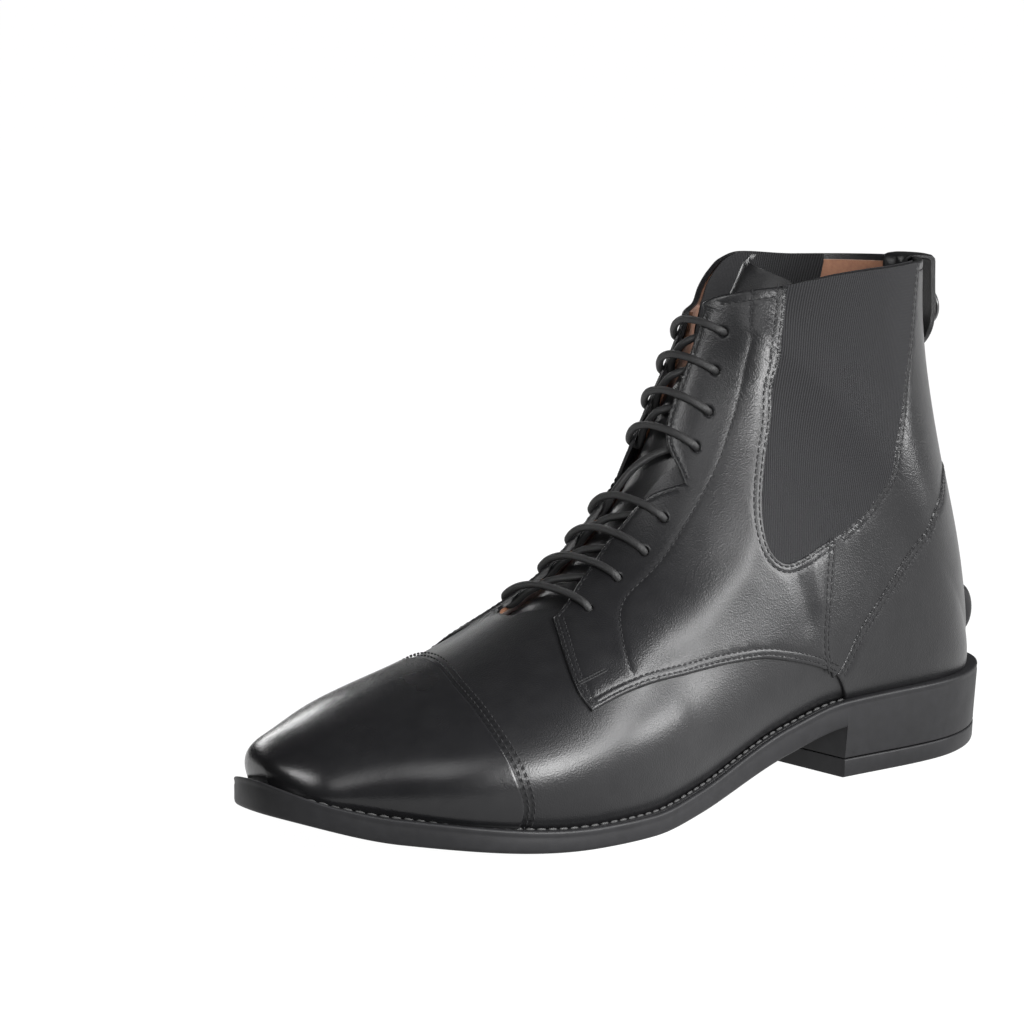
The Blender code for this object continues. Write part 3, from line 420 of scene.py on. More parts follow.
# Stitch line behind the lace holes, from the collar down
FACING_TOP = 108.4
FACING_LINE = [
    (110.9, 144.7), (113.0, 135.4), (115.7, 126.4), (119.9, 116.7), (125.0, 107.4), (130.7, 99.5), (136.9, 92.0),
    (144.0, 84.1), (151.5, 76.7), (159.2, 70.9), (166.6, 66.4), (171.4, 63.0), (175.1, 59.3), (179.1, 54.3),
    (181.7, 49.9), (183.1, 45.1),
]
THROAT_NOTCH = 9
BAR_TACK = [(200.0, 45.8), (190.5, 48.4)]
COUNTER_FRONT = [(92.0, 33.4), (87.0, 27.6)]

# Where the searches along the collar and from the toe begin
RIM_START = 0.02
TOE_END = 0.02

# Lace holes of the outer side (x, z), from the top pair down
EYELETS = [
    (116.4, 143.9), (120.4, 131.9), (124.9, 119.4), (130.9, 108.8),
    (145.7, 87.7), (154.5, 78.1), (164.8, 70.7), (178.5, 63.1),
]


def column(table, columns, name):
    """One named column of a table."""
    place = columns.index(name)
    return np.array([row[place] for row in table], float)


def natural_spline(knots, values, at):
    """A curve with steady bends through the values, one row for each knot."""
    knots, values, at = (np.asarray(part, float) for part in (knots, values, at))
    count = len(knots)
    gaps = np.diff(knots)
    system = np.eye(count)
    load = np.zeros_like(values)
    slopes = np.diff(values, axis=0) / gaps.reshape(-1, *[1] * (values.ndim - 1))
    for i in range(1, count - 1):
        system[i, i - 1 : i + 2] = gaps[i - 1], 2 * (gaps[i - 1] + gaps[i]), gaps[i]
        load[i] = 6 * (slopes[i] - slopes[i - 1])
    bends = np.linalg.solve(system, load)
    k = np.clip(np.searchsorted(knots, at, side="right") - 1, 0, count - 2)
    wide = (..., None) if values.ndim > 1 else ...
    gap, left, right = gaps[k][wide], (at - knots[k])[wide], (knots[k + 1] - at)[wide]
    cubic = (bends[k] * right**3 + bends[k + 1] * left**3) / (6 * gap)
    start = (values[k] / gap - bends[k] * gap / 6) * right
    return cubic + start + (values[k + 1] / gap - bends[k + 1] * gap / 6) * left


def steady_curve(knots, values, at):
    """A curve through the values that never swings past them, so that flats stay flat."""
    knots, values, at = (np.asarray(part, float) for part in (knots, values, at))
    gaps = np.diff(knots)
    slopes = np.diff(values) / gaps
    tilt = np.concatenate([slopes[:1], np.zeros(len(slopes) - 1), slopes[-1:]])
    for i in range(1, len(slopes)):
        if slopes[i - 1] * slopes[i] > 0:
            before, after = 2 * gaps[i] + gaps[i - 1], gaps[i] + 2 * gaps[i - 1]
            tilt[i] = (before + after) / (before / slopes[i - 1] + after / slopes[i])
    k = np.clip(np.searchsorted(knots, at, side="right") - 1, 0, len(gaps) - 1)
    t = (at - knots[k]) / gaps[k]
    ends = values[k] * (1 + 2 * t) * (1 - t) ** 2 + values[k + 1] * t * t * (3 - 2 * t)
    return ends + gaps[k] * (tilt[k] * t * (1 - t) ** 2 + tilt[k + 1] * t * t * (t - 1))


# The sole's outline and heights

def turn_of(station):
    """Places along the sole, crowded at heel and toe so that both ends come out round."""
    return np.arccos(np.clip(1 - 2 * np.asarray(station, float), -1, 1)) / np.pi


def sole_outline(turn, side):
    """Point (x, y) of the outline on one side: +1 outer, -1 inner."""
    name = "outer" if side > 0 else "inner"
    knots = turn_of(column(SOLE_ROWS, SOLE_COLUMNS, "station"))
    width = natural_spline(knots, column(SOLE_ROWS, SOLE_COLUMNS, name), turn)
    return np.stack([SOLE_LENGTH * (1 - np.cos(np.pi * turn)) / 2, side * width], axis=-1)


def sole_edge(station, inset, side):
    """The outline moved inwards, square to itself."""
    turn = turn_of(station)
    step = 1e-4
    along = sole_outline(turn + step, side) - sole_outline(turn - step, side)
    along /= np.linalg.norm(along, axis=-1, keepdims=True)
    inwards = side * np.stack([along[..., 1], -along[..., 0]], axis=-1)
    return sole_outline(turn, side) + inset * inwards


def height(name, station):
    """Height of the sole's underside, or thickness of its edge, along its length."""
    knots = column(HEIGHT_ROWS, HEIGHT_COLUMNS, "station")
    return steady_curve(knots, column(HEIGHT_ROWS, HEIGHT_COLUMNS, name), station)


def rim_height(station):
    """Height of the sole's rim."""
    return height("underside", station) + height("thickness", station)


def toe_lift(station):
    """Rise of the rim and the welt towards the tip of the toe."""
    return TOE_LIFT * np.clip((station - TOE_LIFT_START) / (1 - TOE_LIFT_START), 0, 1) ** 2


def bed_height(x):
    """Height of the bed inside the sole's lip, where the upper and the insole sit."""
    return rim_height(np.clip(np.asarray(x, float) / SOLE_LENGTH, 0, 1)) - LIP_DEPTH


# The last: a chart of (girth, around), with around 0 at the ridge and +-1 at the bed or the back

def last_table():
    """The girths' measures, with the missing heights taken from the sole's bed."""
    rows = []
    for row in LAST_ROWS:
        place = dict(zip(LAST_COLUMNS, row))
        if place["back_z"] is None:
            place["back_z"] = float(bed_height(place["back_x"])) + CLEARANCE
        rows.append([place[name] for name in LAST_COLUMNS])
    return np.array(rows)


LAST = last_table()


def girth_places():
    """Each girth's place from 0 at the toe to 1 at the top, by the mean distance walked."""
    ridge, back = LAST[:, :2], LAST[:, 3:5]
    steps = np.linalg.norm(np.diff(ridge, axis=0), axis=1)
    steps = steps + np.linalg.norm(np.diff(back, axis=0), axis=1)
    walked = np.concatenate([[0], np.cumsum(steps)])
    return walked / walked[-1]


GIRTHS = girth_places()
HEEL_GIRTH = GIRTHS[HEEL_ROW]


def girth(place):
    """The last's measures at a girth. Two mirrored rows before the toe make its end round."""
    before = LAST[[2, 1]].copy()
    before[:, :2] = 2 * before[:, 3:5] - before[:, :2]
    before[:, 5:9] *= -1
    knots = np.concatenate([-GIRTHS[[2, 1]], GIRTHS])
    values = natural_spline(knots, np.vstack([before, LAST]), place)
    on_bed = np.asarray(place) < HEEL_GIRTH
    values[..., 4] = np.where(on_bed, bed_height(values[..., 3]) + CLEARANCE, values[..., 4])
    values[..., 5:7] = np.where(on_bed[..., None], values[..., 5:7], 0.0)
    return {name: values[..., i] for i, name in enumerate(LAST_COLUMNS)}


def chart_pair(place, around):
    """Girths and places around them in one shape; past the back, the other side goes on."""
    place, around = np.broadcast_arrays(np.asarray(place, float), np.asarray(around, float))
    return place, np.where(around > 1, around - 2, np.where(around < -1, around + 2, around))


def last_point(place, around):
    """Point of the last's surface, in millimetres."""
    place, around = chart_pair(place, around)
    at = girth(place)
    outer = around >= 0
    up = np.cos(np.pi * around / 2) ** 2
    bed = np.where(outer, at["bed_outer"], at["bed_inner"])
    full = np.where(outer, at["full_outer"], at["full_inner"])
    below = np.clip(1 - up / at["level"], 0, 1)
    above = np.clip((up - at["level"]) / (1 - at["level"]), 0, 1)
    low = bed + (full - bed) * (1 - below ** at["low"]) ** (1 / at["low"])
    high = full * (1 - above ** at["high"]) ** (1 / at["high"])
    width = np.where(up < at["level"], low, high)
    x = at["back_x"] + (at["ridge_x"] - at["back_x"]) * up
    z = at["back_z"] + (at["ridge_z"] - at["back_z"]) * up
    y = at["ridge_y"] * up + np.where(outer, width, -width)
    return np.stack([x, y, z], axis=-1)


def last_normal(place, around):
    """Unit normal of the last's surface, pointing out."""
    place, around = chart_pair(place, around)
    step = 2e-3
    place = np.maximum(place, 2 * step)
    on_bed = place < HEEL_GIRTH
    ahead = np.where(on_bed, np.minimum(around + step, 1), around + step)
    behind = np.where(on_bed, np.maximum(around - step, -1), around - step)
    across = last_point(place, ahead) - last_point(place, behind)
    along = last_point(np.minimum(place + step, 1), around) - last_point(place - step, around)
    normal = np.cross(across, along)
    return normal / np.linalg.norm(normal, axis=-1, keepdims=True)


def relief(points):
    """Height of the soft ridges and troughs at points of the last."""
    flat = points[..., [0, 2]]
    total = np.zeros(flat.shape[:-1])
    for height, width, line in RELIEF:
        away = np.full(total.shape, np.inf)
        for a, b in zip(np.array(line[:-1]), np.array(line[1:])):
            share = np.clip(((flat - a) * (b - a)).sum(-1) / ((b - a) ** 2).sum(), 0, 1)
            away = np.minimum(away, np.linalg.norm(flat - a - share[..., None] * (b - a), axis=-1))
        total += height * np.exp(-((away / width) ** 2))
    return total


def offset_point(place, around, distance):
    """Point at a distance outside the last's surface, over its soft ridges and troughs."""
    point = last_point(place, around)
    return point + last_normal(place, around) * (np.asarray(distance, float) + relief(point))[..., None]


# Places on the chart

def place_on_side(x, z, side):
    """Chart place of a side-view point (x, z) on one side of the last."""
    places = np.linspace(TOE_END, 1, 800)
    at = girth(places)
    back = np.stack([at["back_x"], at["back_z"]], axis=-1)
    slice_line = np.stack([at["ridge_x"], at["ridge_z"]], axis=-1) - back
    reach = np.array([x, z]) - back
    turn = slice_line[:, 0] * reach[:, 1] - slice_line[:, 1] * reach[:, 0]
    crossing = np.nonzero(np.diff(np.sign(turn)))[0]
    k = crossing[0]
    share = turn[k] / (turn[k] - turn[k + 1])
    up = (slice_line * reach).sum(axis=1) / (slice_line**2).sum(axis=1)
    up = np.clip(up[k] + share * (up[k + 1] - up[k]), 0, 1)
    place = places[k] + share * (places[k + 1] - places[k])
    return place, side * 2 / np.pi * np.arccos(np.sqrt(up))


def place_on_ridge(ridge_z):
    """Girth whose ridge point has this height."""
    places = np.linspace(GIRTHS[3], 1, 600)
    return np.interp(ridge_z, girth(places)["ridge_z"], places)


def around_at(place, y):
    """Place across a girth, near the ridge, where the surface has this y."""
    across = np.linspace(-0.7, 0.7, 561)
    return np.interp(y, last_point(place, across)[:, 1], across)


def throat_edge(side):
    """Chart points of one throat edge, from the foot up."""
    name = "outer_y" if side > 0 else "inner_y"
    places = place_on_ridge(column(THROAT_ROWS, THROAT_COLUMNS, "ridge_z"))
    edges = column(THROAT_ROWS, THROAT_COLUMNS, name)
    return [(place, around_at(place, y)) for place, y in zip(places, edges)]


def level_place(around, level):
    """Girth at which the surface behind the instep has this height, at a place around the boot."""
    places = np.linspace(0.5, 1, 600)
    return np.interp(level, last_point(places, around)[:, 2], places)


def rim_place(around):
    """Girth at which the collar's edge crosses this place around the boot."""
    name = "outer" if around >= 0 else "inner"
    knots = column(RIM_ROWS, RIM_COLUMNS, "around")
    level = steady_curve(knots, column(RIM_ROWS, RIM_COLUMNS, name), abs(around))
    return level_place(around, level)


def rim_point(x, side):
    """Chart place where the collar's edge passes over x on one side."""
    around = np.linspace(RIM_START, 1 - RIM_START, 2000) * side
    places = rim_at(around)
    k = np.argmin(abs(last_point(places, around)[:, 0] - x))
    return places[k], around[k]


def back_place(z):
    """Girth whose back point has this height."""
    places = np.linspace(HEEL_GIRTH, 1, 400)
    return np.interp(z, girth(places)["back_z"], places)


# Lines on the chart

def above_bed(place, rise):
    """Place across a girth where the surface is this high over its own lower edge."""
    at = girth(place)
    level = bed_height(at["back_x"]) + CLEARANCE + rise
    up = np.clip((level - at["back_z"]) / (at["ridge_z"] - at["back_z"]), 0, 1)
    return 2 / np.pi * np.arccos(np.sqrt(up))


def bed_line(places, side, rise, outwards):
    """The upper's plan outline at a height over the bed, moved outwards, as points (x, y)."""
    step = 1e-3

    def line(at):
        return last_point(at, side * above_bed(at, rise))[:, :2]

    along = line(places + step) - line(places - step)
    along /= np.linalg.norm(along, axis=1, keepdims=True)
    return line(places) + side * outwards * np.stack([along[:, 1], -along[:, 0]], axis=-1)


def path_lengths(points):
    """Length walked to each point of a path."""
    return np.concatenate([[0], np.cumsum(np.linalg.norm(np.diff(points, axis=0), axis=1))])


def lengths(line):
    """Real length walked to each point of a chart line."""
    return path_lengths(last_point(*line.T))


def at_lengths(line, where):
    """Points of a chart line at real lengths along it."""
    walked = lengths(line)
    return np.stack([np.interp(where, walked, line[:, i]) for i in (0, 1)], axis=-1)


def even_line(line, segments):
    """A chart line in steps of equal real length."""
    return at_lengths(line, np.linspace(0, lengths(line)[-1], segments + 1))


def walked_line(landmarks, segments):
    """A smooth chart line through the landmarks, in steps of equal real length."""
    chart = np.array(landmarks, float)
    walked = lengths(chart)
    return even_line(natural_spline(walked, chart, np.linspace(0, walked[-1], 300)), segments)


def middle_line():
    """The middle of the sole's width, where the part's own frame has its origin."""
    turns = np.linspace(0, 1, 400)
    spread = [sole_outline(turns, side)[:, 1] for side in (1, -1)]
    return (spread[0].max() + spread[1].min()) / 2


ORIGIN = np.array([SOLE_LENGTH / 2, middle_line(), 0.0])


def world(points):
    """Millimetres in the tables' frame to metres in the part's frame."""
    return (np.asarray(points, float) - ORIGIN) * MM


# Pieces and meshes

def add_object(name, data):
    """A new object in the scene."""
    made = bpy.data.objects.new(name, data)
    bpy.context.scene.collection.objects.link(made)
    return made


def add_node(tree, kind, **inputs):
    """A node with some of its inputs set by name."""
    made = tree.nodes.new(kind)
    for name, value in inputs.items():
        made.inputs[name.replace("_", " ")].default_value = value
    return made


def piece(name, points, faces, finish, slot, replaces=()):
    """A mesh piece of the boot from points in millimetres, riding on its only body."""
    mesh = bpy.data.meshes.new(name)
    mesh.from_pydata(world(points).tolist(), [], [list(map(int, face)) for face in faces])
    shape = bmesh.new()
    shape.from_mesh(mesh)
    bmesh.ops.remove_doubles(shape, verts=shape.verts, dist=WELD * MM)
    bmesh.ops.dissolve_degenerate(shape, edges=shape.edges, dist=SLIVER * MM)
    bmesh.ops.recalc_face_normals(shape, faces=shape.faces)
    shape.to_mesh(mesh)
    shape.free()
    mesh.shade_smooth()
    mesh.set_sharp_from_angle(angle=np.radians(SHARP_ANGLE))
    return settle(add_object(name, mesh), finish, replaces)


def settle(made, finish, replaces=()):
    """Gives a piece its material, body and the solids it stands for."""
    made.data.materials.clear()
    made.data.materials.append(finish)
    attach(made, "root")
    if replaces:
        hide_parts(*replaces)
    return made


def grid_faces(rows, columns, first=0):
    """Quads of a grid of points stored row by row."""
    r, c = np.meshgrid(np.arange(rows - 1), np.arange(columns - 1), indexing="ij")
    corner = first + (r * columns + c).ravel()
    return np.stack([corner, corner + 1, corner + columns + 1, corner + columns], axis=1)


def ring_faces(count, rings):
    """Quads between closed rings of points stored one after another."""
    index = np.arange(count * rings).reshape(rings, count)
    ahead = np.roll(index, -1, axis=1)
    return np.stack([index[:-1], ahead[:-1], ahead[1:], index[1:]], axis=-1).reshape(-1, 4).tolist()


def ring_caps(count, rings):
    """The two flat ends of a row of closed rings."""
    return [list(range(count))[::-1], list(range(count * (rings - 1), count * rings))]


def crowded(count, power=1.6):
    """Shares from 0 to 1 that crowd at both ends."""
    t = np.linspace(-1, 1, count)
    return (np.sign(t) * (1 - (1 - np.abs(t)) ** power) + 1) / 2


def dense(line, step):
    """A chart line brought to even steps of about this real length."""
    return even_line(line, max(2, int(round(lengths(line)[-1] / step))))


def closed(loop):
    """An outline with its first point again at the end."""
    return np.vstack([loop, loop[:1]])


def distance_to(lines):
    """A measure of how far chart points are from the nearest of some chart lines."""
    spots = last_point(*np.concatenate([dense(line, MEASURE_STEP) for line in lines]).T)
    tree = KDTree(len(spots))
    for i, spot in enumerate(spots):
        tree.insert(spot, i)
    tree.balance()
    return lambda chart: np.array([tree.find(spot)[2] for spot in last_point(*chart.T)])


def leather_height(chart, to_edge, to_row, rise, thickness):
    """Height of leather over the last: a low cut edge, a rounded shoulder and stitch grooves."""
    t = np.clip(to_edge(chart) / EDGE_RADIUS, 0, 1)
    body = thickness * (EDGE_CUT + (1 - EDGE_CUT) * np.sqrt(1 - (1 - t) ** 2))
    return rise + body - GROOVE_DEPTH * np.exp(-((to_row(chart) / GROOVE_WIDTH) ** 2))


def walled(grid, outside, inside):
    """Points and faces of a closed wall over a chart grid, from heights of both skins."""
    shape = grid.shape[:2]
    skins = []
    for skin in (outside, inside):
        spots = offset_point(*grid.reshape(-1, 2).T, np.broadcast_to(skin, shape).ravel())
        skins.append(spots.reshape(*shape, 3))
    return shut(*skins)


def shut(top, low):
    """Points and faces of a closed solid between two grids of points."""
    rows, columns = top.shape[:2]
    count = rows * columns
    skin = grid_faces(rows, columns)
    faces = [skin, skin[:, ::-1] + count]
    index = np.arange(count).reshape(rows, columns)
    for edge in (index[0], index[-1][::-1], index[:, 0][::-1], index[:, -1]):
        faces.append(np.stack([edge[1:], edge[:-1], edge[:-1] + count, edge[1:] + count], axis=1))
    return np.concatenate([top.reshape(-1, 3), low.reshape(-1, 3)]), np.concatenate(faces)


def inside_loop(points, loop):
    """Which flat points are inside a closed flat outline."""
    inside = np.zeros(len(points), bool)
    for a, b in zip(loop, np.roll(loop, -1, axis=0)):
        crosses = (a[1] > points[:, 1]) != (b[1] > points[:, 1])
        rise = np.where(b[1] == a[1], 1e-12, b[1] - a[1])
        inside ^= crosses & (points[:, 0] < a[0] + (points[:, 1] - a[1]) / rise * (b[0] - a[0]))
    return inside


def beside(line, distance):
    """A chart line moved sideways over the surface, to its left seen from outside."""
    place, around = line[:, 0], line[:, 1]
    step = 1e-3
    along = (last_point(place + step, around) - last_point(place - step, around)) / (2 * step)
    across = (last_point(place, around + step) - last_point(place, around - step)) / (2 * step)
    way = np.gradient(last_point(place, around), axis=0)
    left = np.cross(last_normal(place, around), way)
    left *= (np.asarray(distance, float) / np.linalg.norm(left, axis=1).clip(1e-9)).reshape(-1, 1)
    aa, ab, bb = (along * along).sum(1), (along * across).sum(1), (across * across).sum(1)
    pa, pb = (left * along).sum(1), (left * across).sum(1)
    spread = (aa * bb - ab * ab).clip(1e-9)
    return line + np.stack([(pa * bb - pb * ab) / spread, (pb * aa - pa * ab) / spread], axis=1)


def panel_points(loops, rows, to_edge, to_row, within):
    """Flat points inside a panel: rings along its edges, lines along its rows and a field between."""
    inner = []
    for loop in loops:
        around = np.vstack([loop[-1:], closed(loop)])
        for distance in EDGE_RINGS:
            for way in (distance, -distance):
                ring = beside(around, way)[1:-1]
                inner.append(ring[(to_edge(ring) > RING_SHARE * distance) & (to_row(ring) > ROW_CLEAR)])
    for row in rows:
        for shift in GROOVE_SHIFTS:
            line = beside(dense(row, ROW_STEP), shift)
            inner.append(line[to_edge(line) > ROW_MARGIN])
    low, high = loops[0].min(axis=0), loops[0].max(axis=0)
    steps = FIELD_STEP / CHART_SIZE
    field = np.meshgrid(*(np.arange(low[i], high[i], steps[i]) for i in (0, 1)), indexing="ij")
    field = np.stack(field, axis=-1)
    field[1::2, :, 1] += steps[1] / 2
    field = field.reshape(-1, 2)
    field = field[within(field * CHART_SIZE)]
    clear = (to_edge(field) > EDGE_RINGS[-1] + FIELD_MARGIN) & (to_row(field) > ROW_CLEAR + FIELD_MARGIN)
    inner = np.concatenate(inner + [field[clear]]) * CHART_SIZE
    inner = inner[within(inner)]
    firsts = np.unique(np.round(inner / POINT_CELL), axis=0, return_index=True)[1]
    return inner[np.sort(firsts)]


def panel_faces(flats, inner, within):
    """Flat points and triangles of a panel, from its outline, its holes and the points inside."""
    edges, first = [], 0
    for flat in flats:
        edges += [(first + i, first + (i + 1) % len(flat)) for i in range(len(flat))]
        first += len(flat)
    points = [Vector(point) for point in np.concatenate(flats + [inner])]
    result = delaunay_2d_cdt(points, edges, [], 0, 1e-4)
    flat = np.array([point[:] for point in result[0]])
    faces = np.array([face for face in result[2] if len(face) == 3])
    return flat, faces[within(flat[faces].mean(axis=1))]


def sewn_panel(name, node, outline, rows, holes=(), rise=PANEL_RISE, thickness=LEATHER):
    """A leather panel cut to an outline, with punched holes, and the stitches along its rows."""
    loops = [dense(closed(outline), OUTLINE_STEP)[:-1]]
    loops += [dense(closed(hole), HOLE_STEP)[:-1] for hole in holes]
    flats = [loop * CHART_SIZE for loop in loops]

    def within(flat):
        keep = inside_loop(flat, flats[0])
        for hole in flats[1:]:
            keep &= ~inside_loop(flat, hole)
        return keep

    to_edge, to_row = distance_to([closed(loop) for loop in loops]), distance_to(rows)
    flat, faces = panel_faces(flats, panel_points(loops, rows, to_edge, to_row, within), within)
    chart = flat / CHART_SIZE
    count = len(chart)
    top = offset_point(*chart.T, leather_height(chart, to_edge, to_row, rise, thickness))
    back = offset_point(*chart.T, np.full(count, rise - PANEL_SINK))
    seen = {}
    for face in faces.tolist():
        for a, b in zip(face, face[1:] + face[:1]):
            seen.setdefault((min(a, b), max(a, b)), []).append((a, b))
    rim = [ends[0] for ends in seen.values() if len(ends) == 1]
    sides = [[b, a, a + count, b + count] for a, b in rim]
    skins = np.concatenate([faces, faces[:, ::-1] + count]).tolist()
    piece(f"{name}_leather", np.concatenate([top, back]), skins + sides, LEATHER_QUARTER, "leather", (node,))
    sew(f"{name}_stitches", rows, rise + thickness - STITCH_SINK)


# Stitches, made with geometry nodes along the rows

def stitch_tree():
    """Node tree that lays stitches of a given length and width along curves."""
    tree = bpy.data.node_groups.new("stitch_rows", "GeometryNodeTree")
    for name, way, kind in (
        ("Geometry", "INPUT", "Geometry"), ("Pitch", "INPUT", "Float"), ("Length", "INPUT", "Float"),
        ("Width", "INPUT", "Float"), ("Thread", "INPUT", "Material"), ("Geometry", "OUTPUT", "Geometry"),
    ):
        tree.interface.new_socket(name, in_out=way, socket_type="NodeSocket" + kind)
    make = tree.nodes.new
    start, end = make("NodeGroupInput"), make("NodeGroupOutput")
    spaced = make("GeometryNodeResampleCurve")
    spaced.mode = "LENGTH"
    bead = add_node(tree, "GeometryNodeMeshUVSphere", Segments=8, Rings=6, Radius=0.5)
    size, tangent = make("ShaderNodeCombineXYZ"), make("GeometryNodeInputTangent")
    turn = make("FunctionNodeAlignRotationToVector")
    turn.axis = "X"
    laid, real = make("GeometryNodeInstanceOnPoints"), make("GeometryNodeRealizeInstances")
    smooth, coated = make("GeometryNodeSetShadeSmooth"), make("GeometryNodeSetMaterial")
    for source, output, target, entry in (
        (start, "Geometry", spaced, "Curve"), (start, "Pitch", spaced, "Length"),
        (start, "Length", size, "X"), (start, "Width", size, "Y"), (start, "Width", size, "Z"),
        (tangent, "Tangent", turn, "Vector"), (spaced, "Curve", laid, "Points"),
        (bead, "Mesh", laid, "Instance"), (turn, "Rotation", laid, "Rotation"), (size, "Vector", laid, "Scale"),
        (laid, "Instances", real, "Geometry"), (real, "Geometry", smooth, "Geometry"),
        (smooth, "Geometry", coated, "Geometry"), (start, "Thread", coated, "Material"),
        (coated, "Geometry", end, "Geometry"),
    ):
        tree.links.new(source.outputs[output], target.inputs[entry])
    return tree


def path_object(name, paths):
    """A curve object of open polylines, from points in millimetres."""
    curve = bpy.data.curves.new(name, "CURVE")
    curve.dimensions = "3D"
    for path in paths:
        spline = curve.splines.new("POLY")
        spline.points.add(len(path) - 1)
        for point, spot in zip(spline.points, world(path)):
            point.co = (*spot, 1)
    return add_object(name, curve)


def plain_mesh(name, source):
    """The evaluated shape of an object as a new plain mesh object; the source is removed."""
    bpy.context.view_layer.update()
    shape = bpy.data.meshes.new_from_object(source.evaluated_get(bpy.context.evaluated_depsgraph_get()))
    shape.name = name
    bpy.data.objects.remove(source)
    return add_object(name, shape)


def sew(name, rows, lift, stitch=STITCH):
    """Stitches along chart lines, at a height over the last."""
    lines = [dense(row, STITCH_STEP) for row in rows]
    sew_paths(name, [offset_point(*line.T, np.full(len(line), lift)) for line in lines], THREAD, stitch)


def sew_paths(name, paths, thread, stitch):
    """Stitches of a pitch, length and width along paths."""
    source = path_object(name + "_path", paths)
    rows = source.modifiers.new("stitches", "NODES")
    rows.node_group = STITCHES
    pitch, length, width = stitch
    sizes = {"Pitch": pitch * MM, "Length": length * MM, "Width": width * MM, "Thread": thread}
    for item in STITCHES.interface.items_tree:
        if item.in_out == "INPUT" and item.name in sizes:
            rows[item.identifier] = sizes[item.name]
    settle(plain_mesh(name, source), thread)


# Finishes

def new_finish(name, colour, roughness, **sockets):
    """A material with even values set on its own shader sockets."""
    material = bpy.data.materials.new(name)
    material.use_nodes = True
    tree = material.node_tree
    shader = tree.nodes["Principled BSDF"]
    shader.inputs["Base Color"].default_value = (*colour, 1)
    shader.inputs["Roughness"].default_value = roughness
    for socket, value in sockets.items():
        shader.inputs[socket.replace("_", " ")].default_value = value
    return material, tree, shader


def uneven_gloss(tree, shader, value, low, high):
    """Roughness that follows a texture value between two limits."""
    ranged = add_node(tree, "ShaderNodeMapRange", To_Min=low, To_Max=high)
    tree.links.new(value, ranged.inputs["Value"])
    tree.links.new(ranged.outputs["Result"], shader.inputs["Roughness"])


def mottled(tree, shader, value, dye_and_shade):
    """Base colour mixed from a dark and a light colour by a texture value: uneven dyed tone on the leather, lining
    and rubber, and painted shade and light along the bumps of the elastic and the cord.
    """
    mixed = tree.nodes.new("ShaderNodeMix")
    mixed.data_type = "RGBA"
    tree.links.new(value, mixed.inputs["Factor"])
    mixed.inputs[6].default_value, mixed.inputs[7].default_value = ((*colour, 1) for colour in dye_and_shade)
    tree.links.new(mixed.outputs[2], shader.inputs["Base Color"])


def bumped(tree, shader, layers):
    """Bump from texture values, each with a strength and a height in metres."""
    normal = None
    for value, strength, distance in layers:
        bump = add_node(tree, "ShaderNodeBump", Strength=strength, Distance=distance)
        tree.links.new(value, bump.inputs["Height"])
        if normal is not None:
            tree.links.new(normal, bump.inputs["Normal"])
        normal = bump.outputs["Normal"]
    tree.links.new(normal, shader.inputs["Normal"])


def noise(tree, scale, detail=2.0, roughness=0.5):
    """Cloudy texture value over the whole boot."""
    place = tree.nodes.new("ShaderNodeTexCoord")
    texture = add_node(tree, "ShaderNodeTexNoise", Scale=scale, Detail=detail, Roughness=roughness)
    tree.links.new(place.outputs["Object"], texture.inputs["Vector"])
    return texture.outputs["Fac"]


def pebbles(tree, scale):
    """Texture value of soft round cells, for the leather's grain."""
    place = tree.nodes.new("ShaderNodeTexCoord")
    texture = add_node(tree, "ShaderNodeTexVoronoi", Scale=scale)
    texture.feature = "SMOOTH_F1"
    texture.inputs["Smoothness"].default_value = 0.6
    tree.links.new(place.outputs["Object"], texture.inputs["Vector"])
    return texture.outputs["Distance"]


def leather_finish(name, gloss, grain):
    """Smooth dyed leather: fine pebbled grain, uneven polish and a thin coat."""
    material, tree, shader = new_finish(name, LEATHER_DYE[1], gloss, Coat_Weight=0.1, Coat_Roughness=0.25,
                                        Specular_IOR_Level=0.24)
    uneven_gloss(tree, shader, noise(tree, 38.0, 3.0), gloss - 0.08, gloss + 0.1)
    mottled(tree, shader, noise(tree, 160.0, 4.0), LEATHER_DYE)
    bumped(tree, shader, [
        (noise(tree, 60.0, 3.0), 0.22, 0.0012),
        (pebbles(tree, 2100.0), grain * 1.6, 0.0002),
        (noise(tree, 2600.0, 2.0), grain * 1.4, 0.0001),
    ])
    return material


def lining_finish():
    """Matt brown lining leather with a soft nap."""
    material, tree, shader = new_finish("lining_leather", LINING_DYE[1], 0.8, Sheen_Weight=0.15)
    mottled(tree, shader, noise(tree, 550.0, 4.0, 0.8), LINING_DYE)
    bumped(tree, shader, [(noise(tree, 700.0, 4.0), 0.35, 0.0003)])
    return material


def elastic_finish():
    """Black elastic web: fine ribs along the leg and a close weave, on the piece's own map, with painted shade in
    the ribs' grooves and painted light on their crests.
    """
    material, tree, shader = new_finish("elastic_web", ELASTIC_PAINTED_RIB_SHADE[1], 0.85, Specular_IOR_Level=0.18)
    place = tree.nodes.new("ShaderNodeUVMap")
    ribs = add_node(tree, "ShaderNodeTexWave", Scale=RIB_SCALE, Distortion=0.0)
    ribs.bands_direction = "X"
    weave = add_node(tree, "ShaderNodeTexWave", Scale=RIB_SCALE * 0.75, Distortion=2.5, Detail=2.0)
    weave.bands_direction = "Y"
    for texture in (ribs, weave):
        tree.links.new(place.outputs["UV"], texture.inputs["Vector"])
    # Painted shade and light: darker in the ribs' grooves, lighter on their crests.
    mottled(tree, shader, ribs.outputs["Fac"], ELASTIC_PAINTED_RIB_SHADE)
    bumped(tree, shader, [(ribs.outputs["Fac"], 0.6, 0.00025), (weave.outputs["Fac"], 0.25, 0.0001)])
    return material


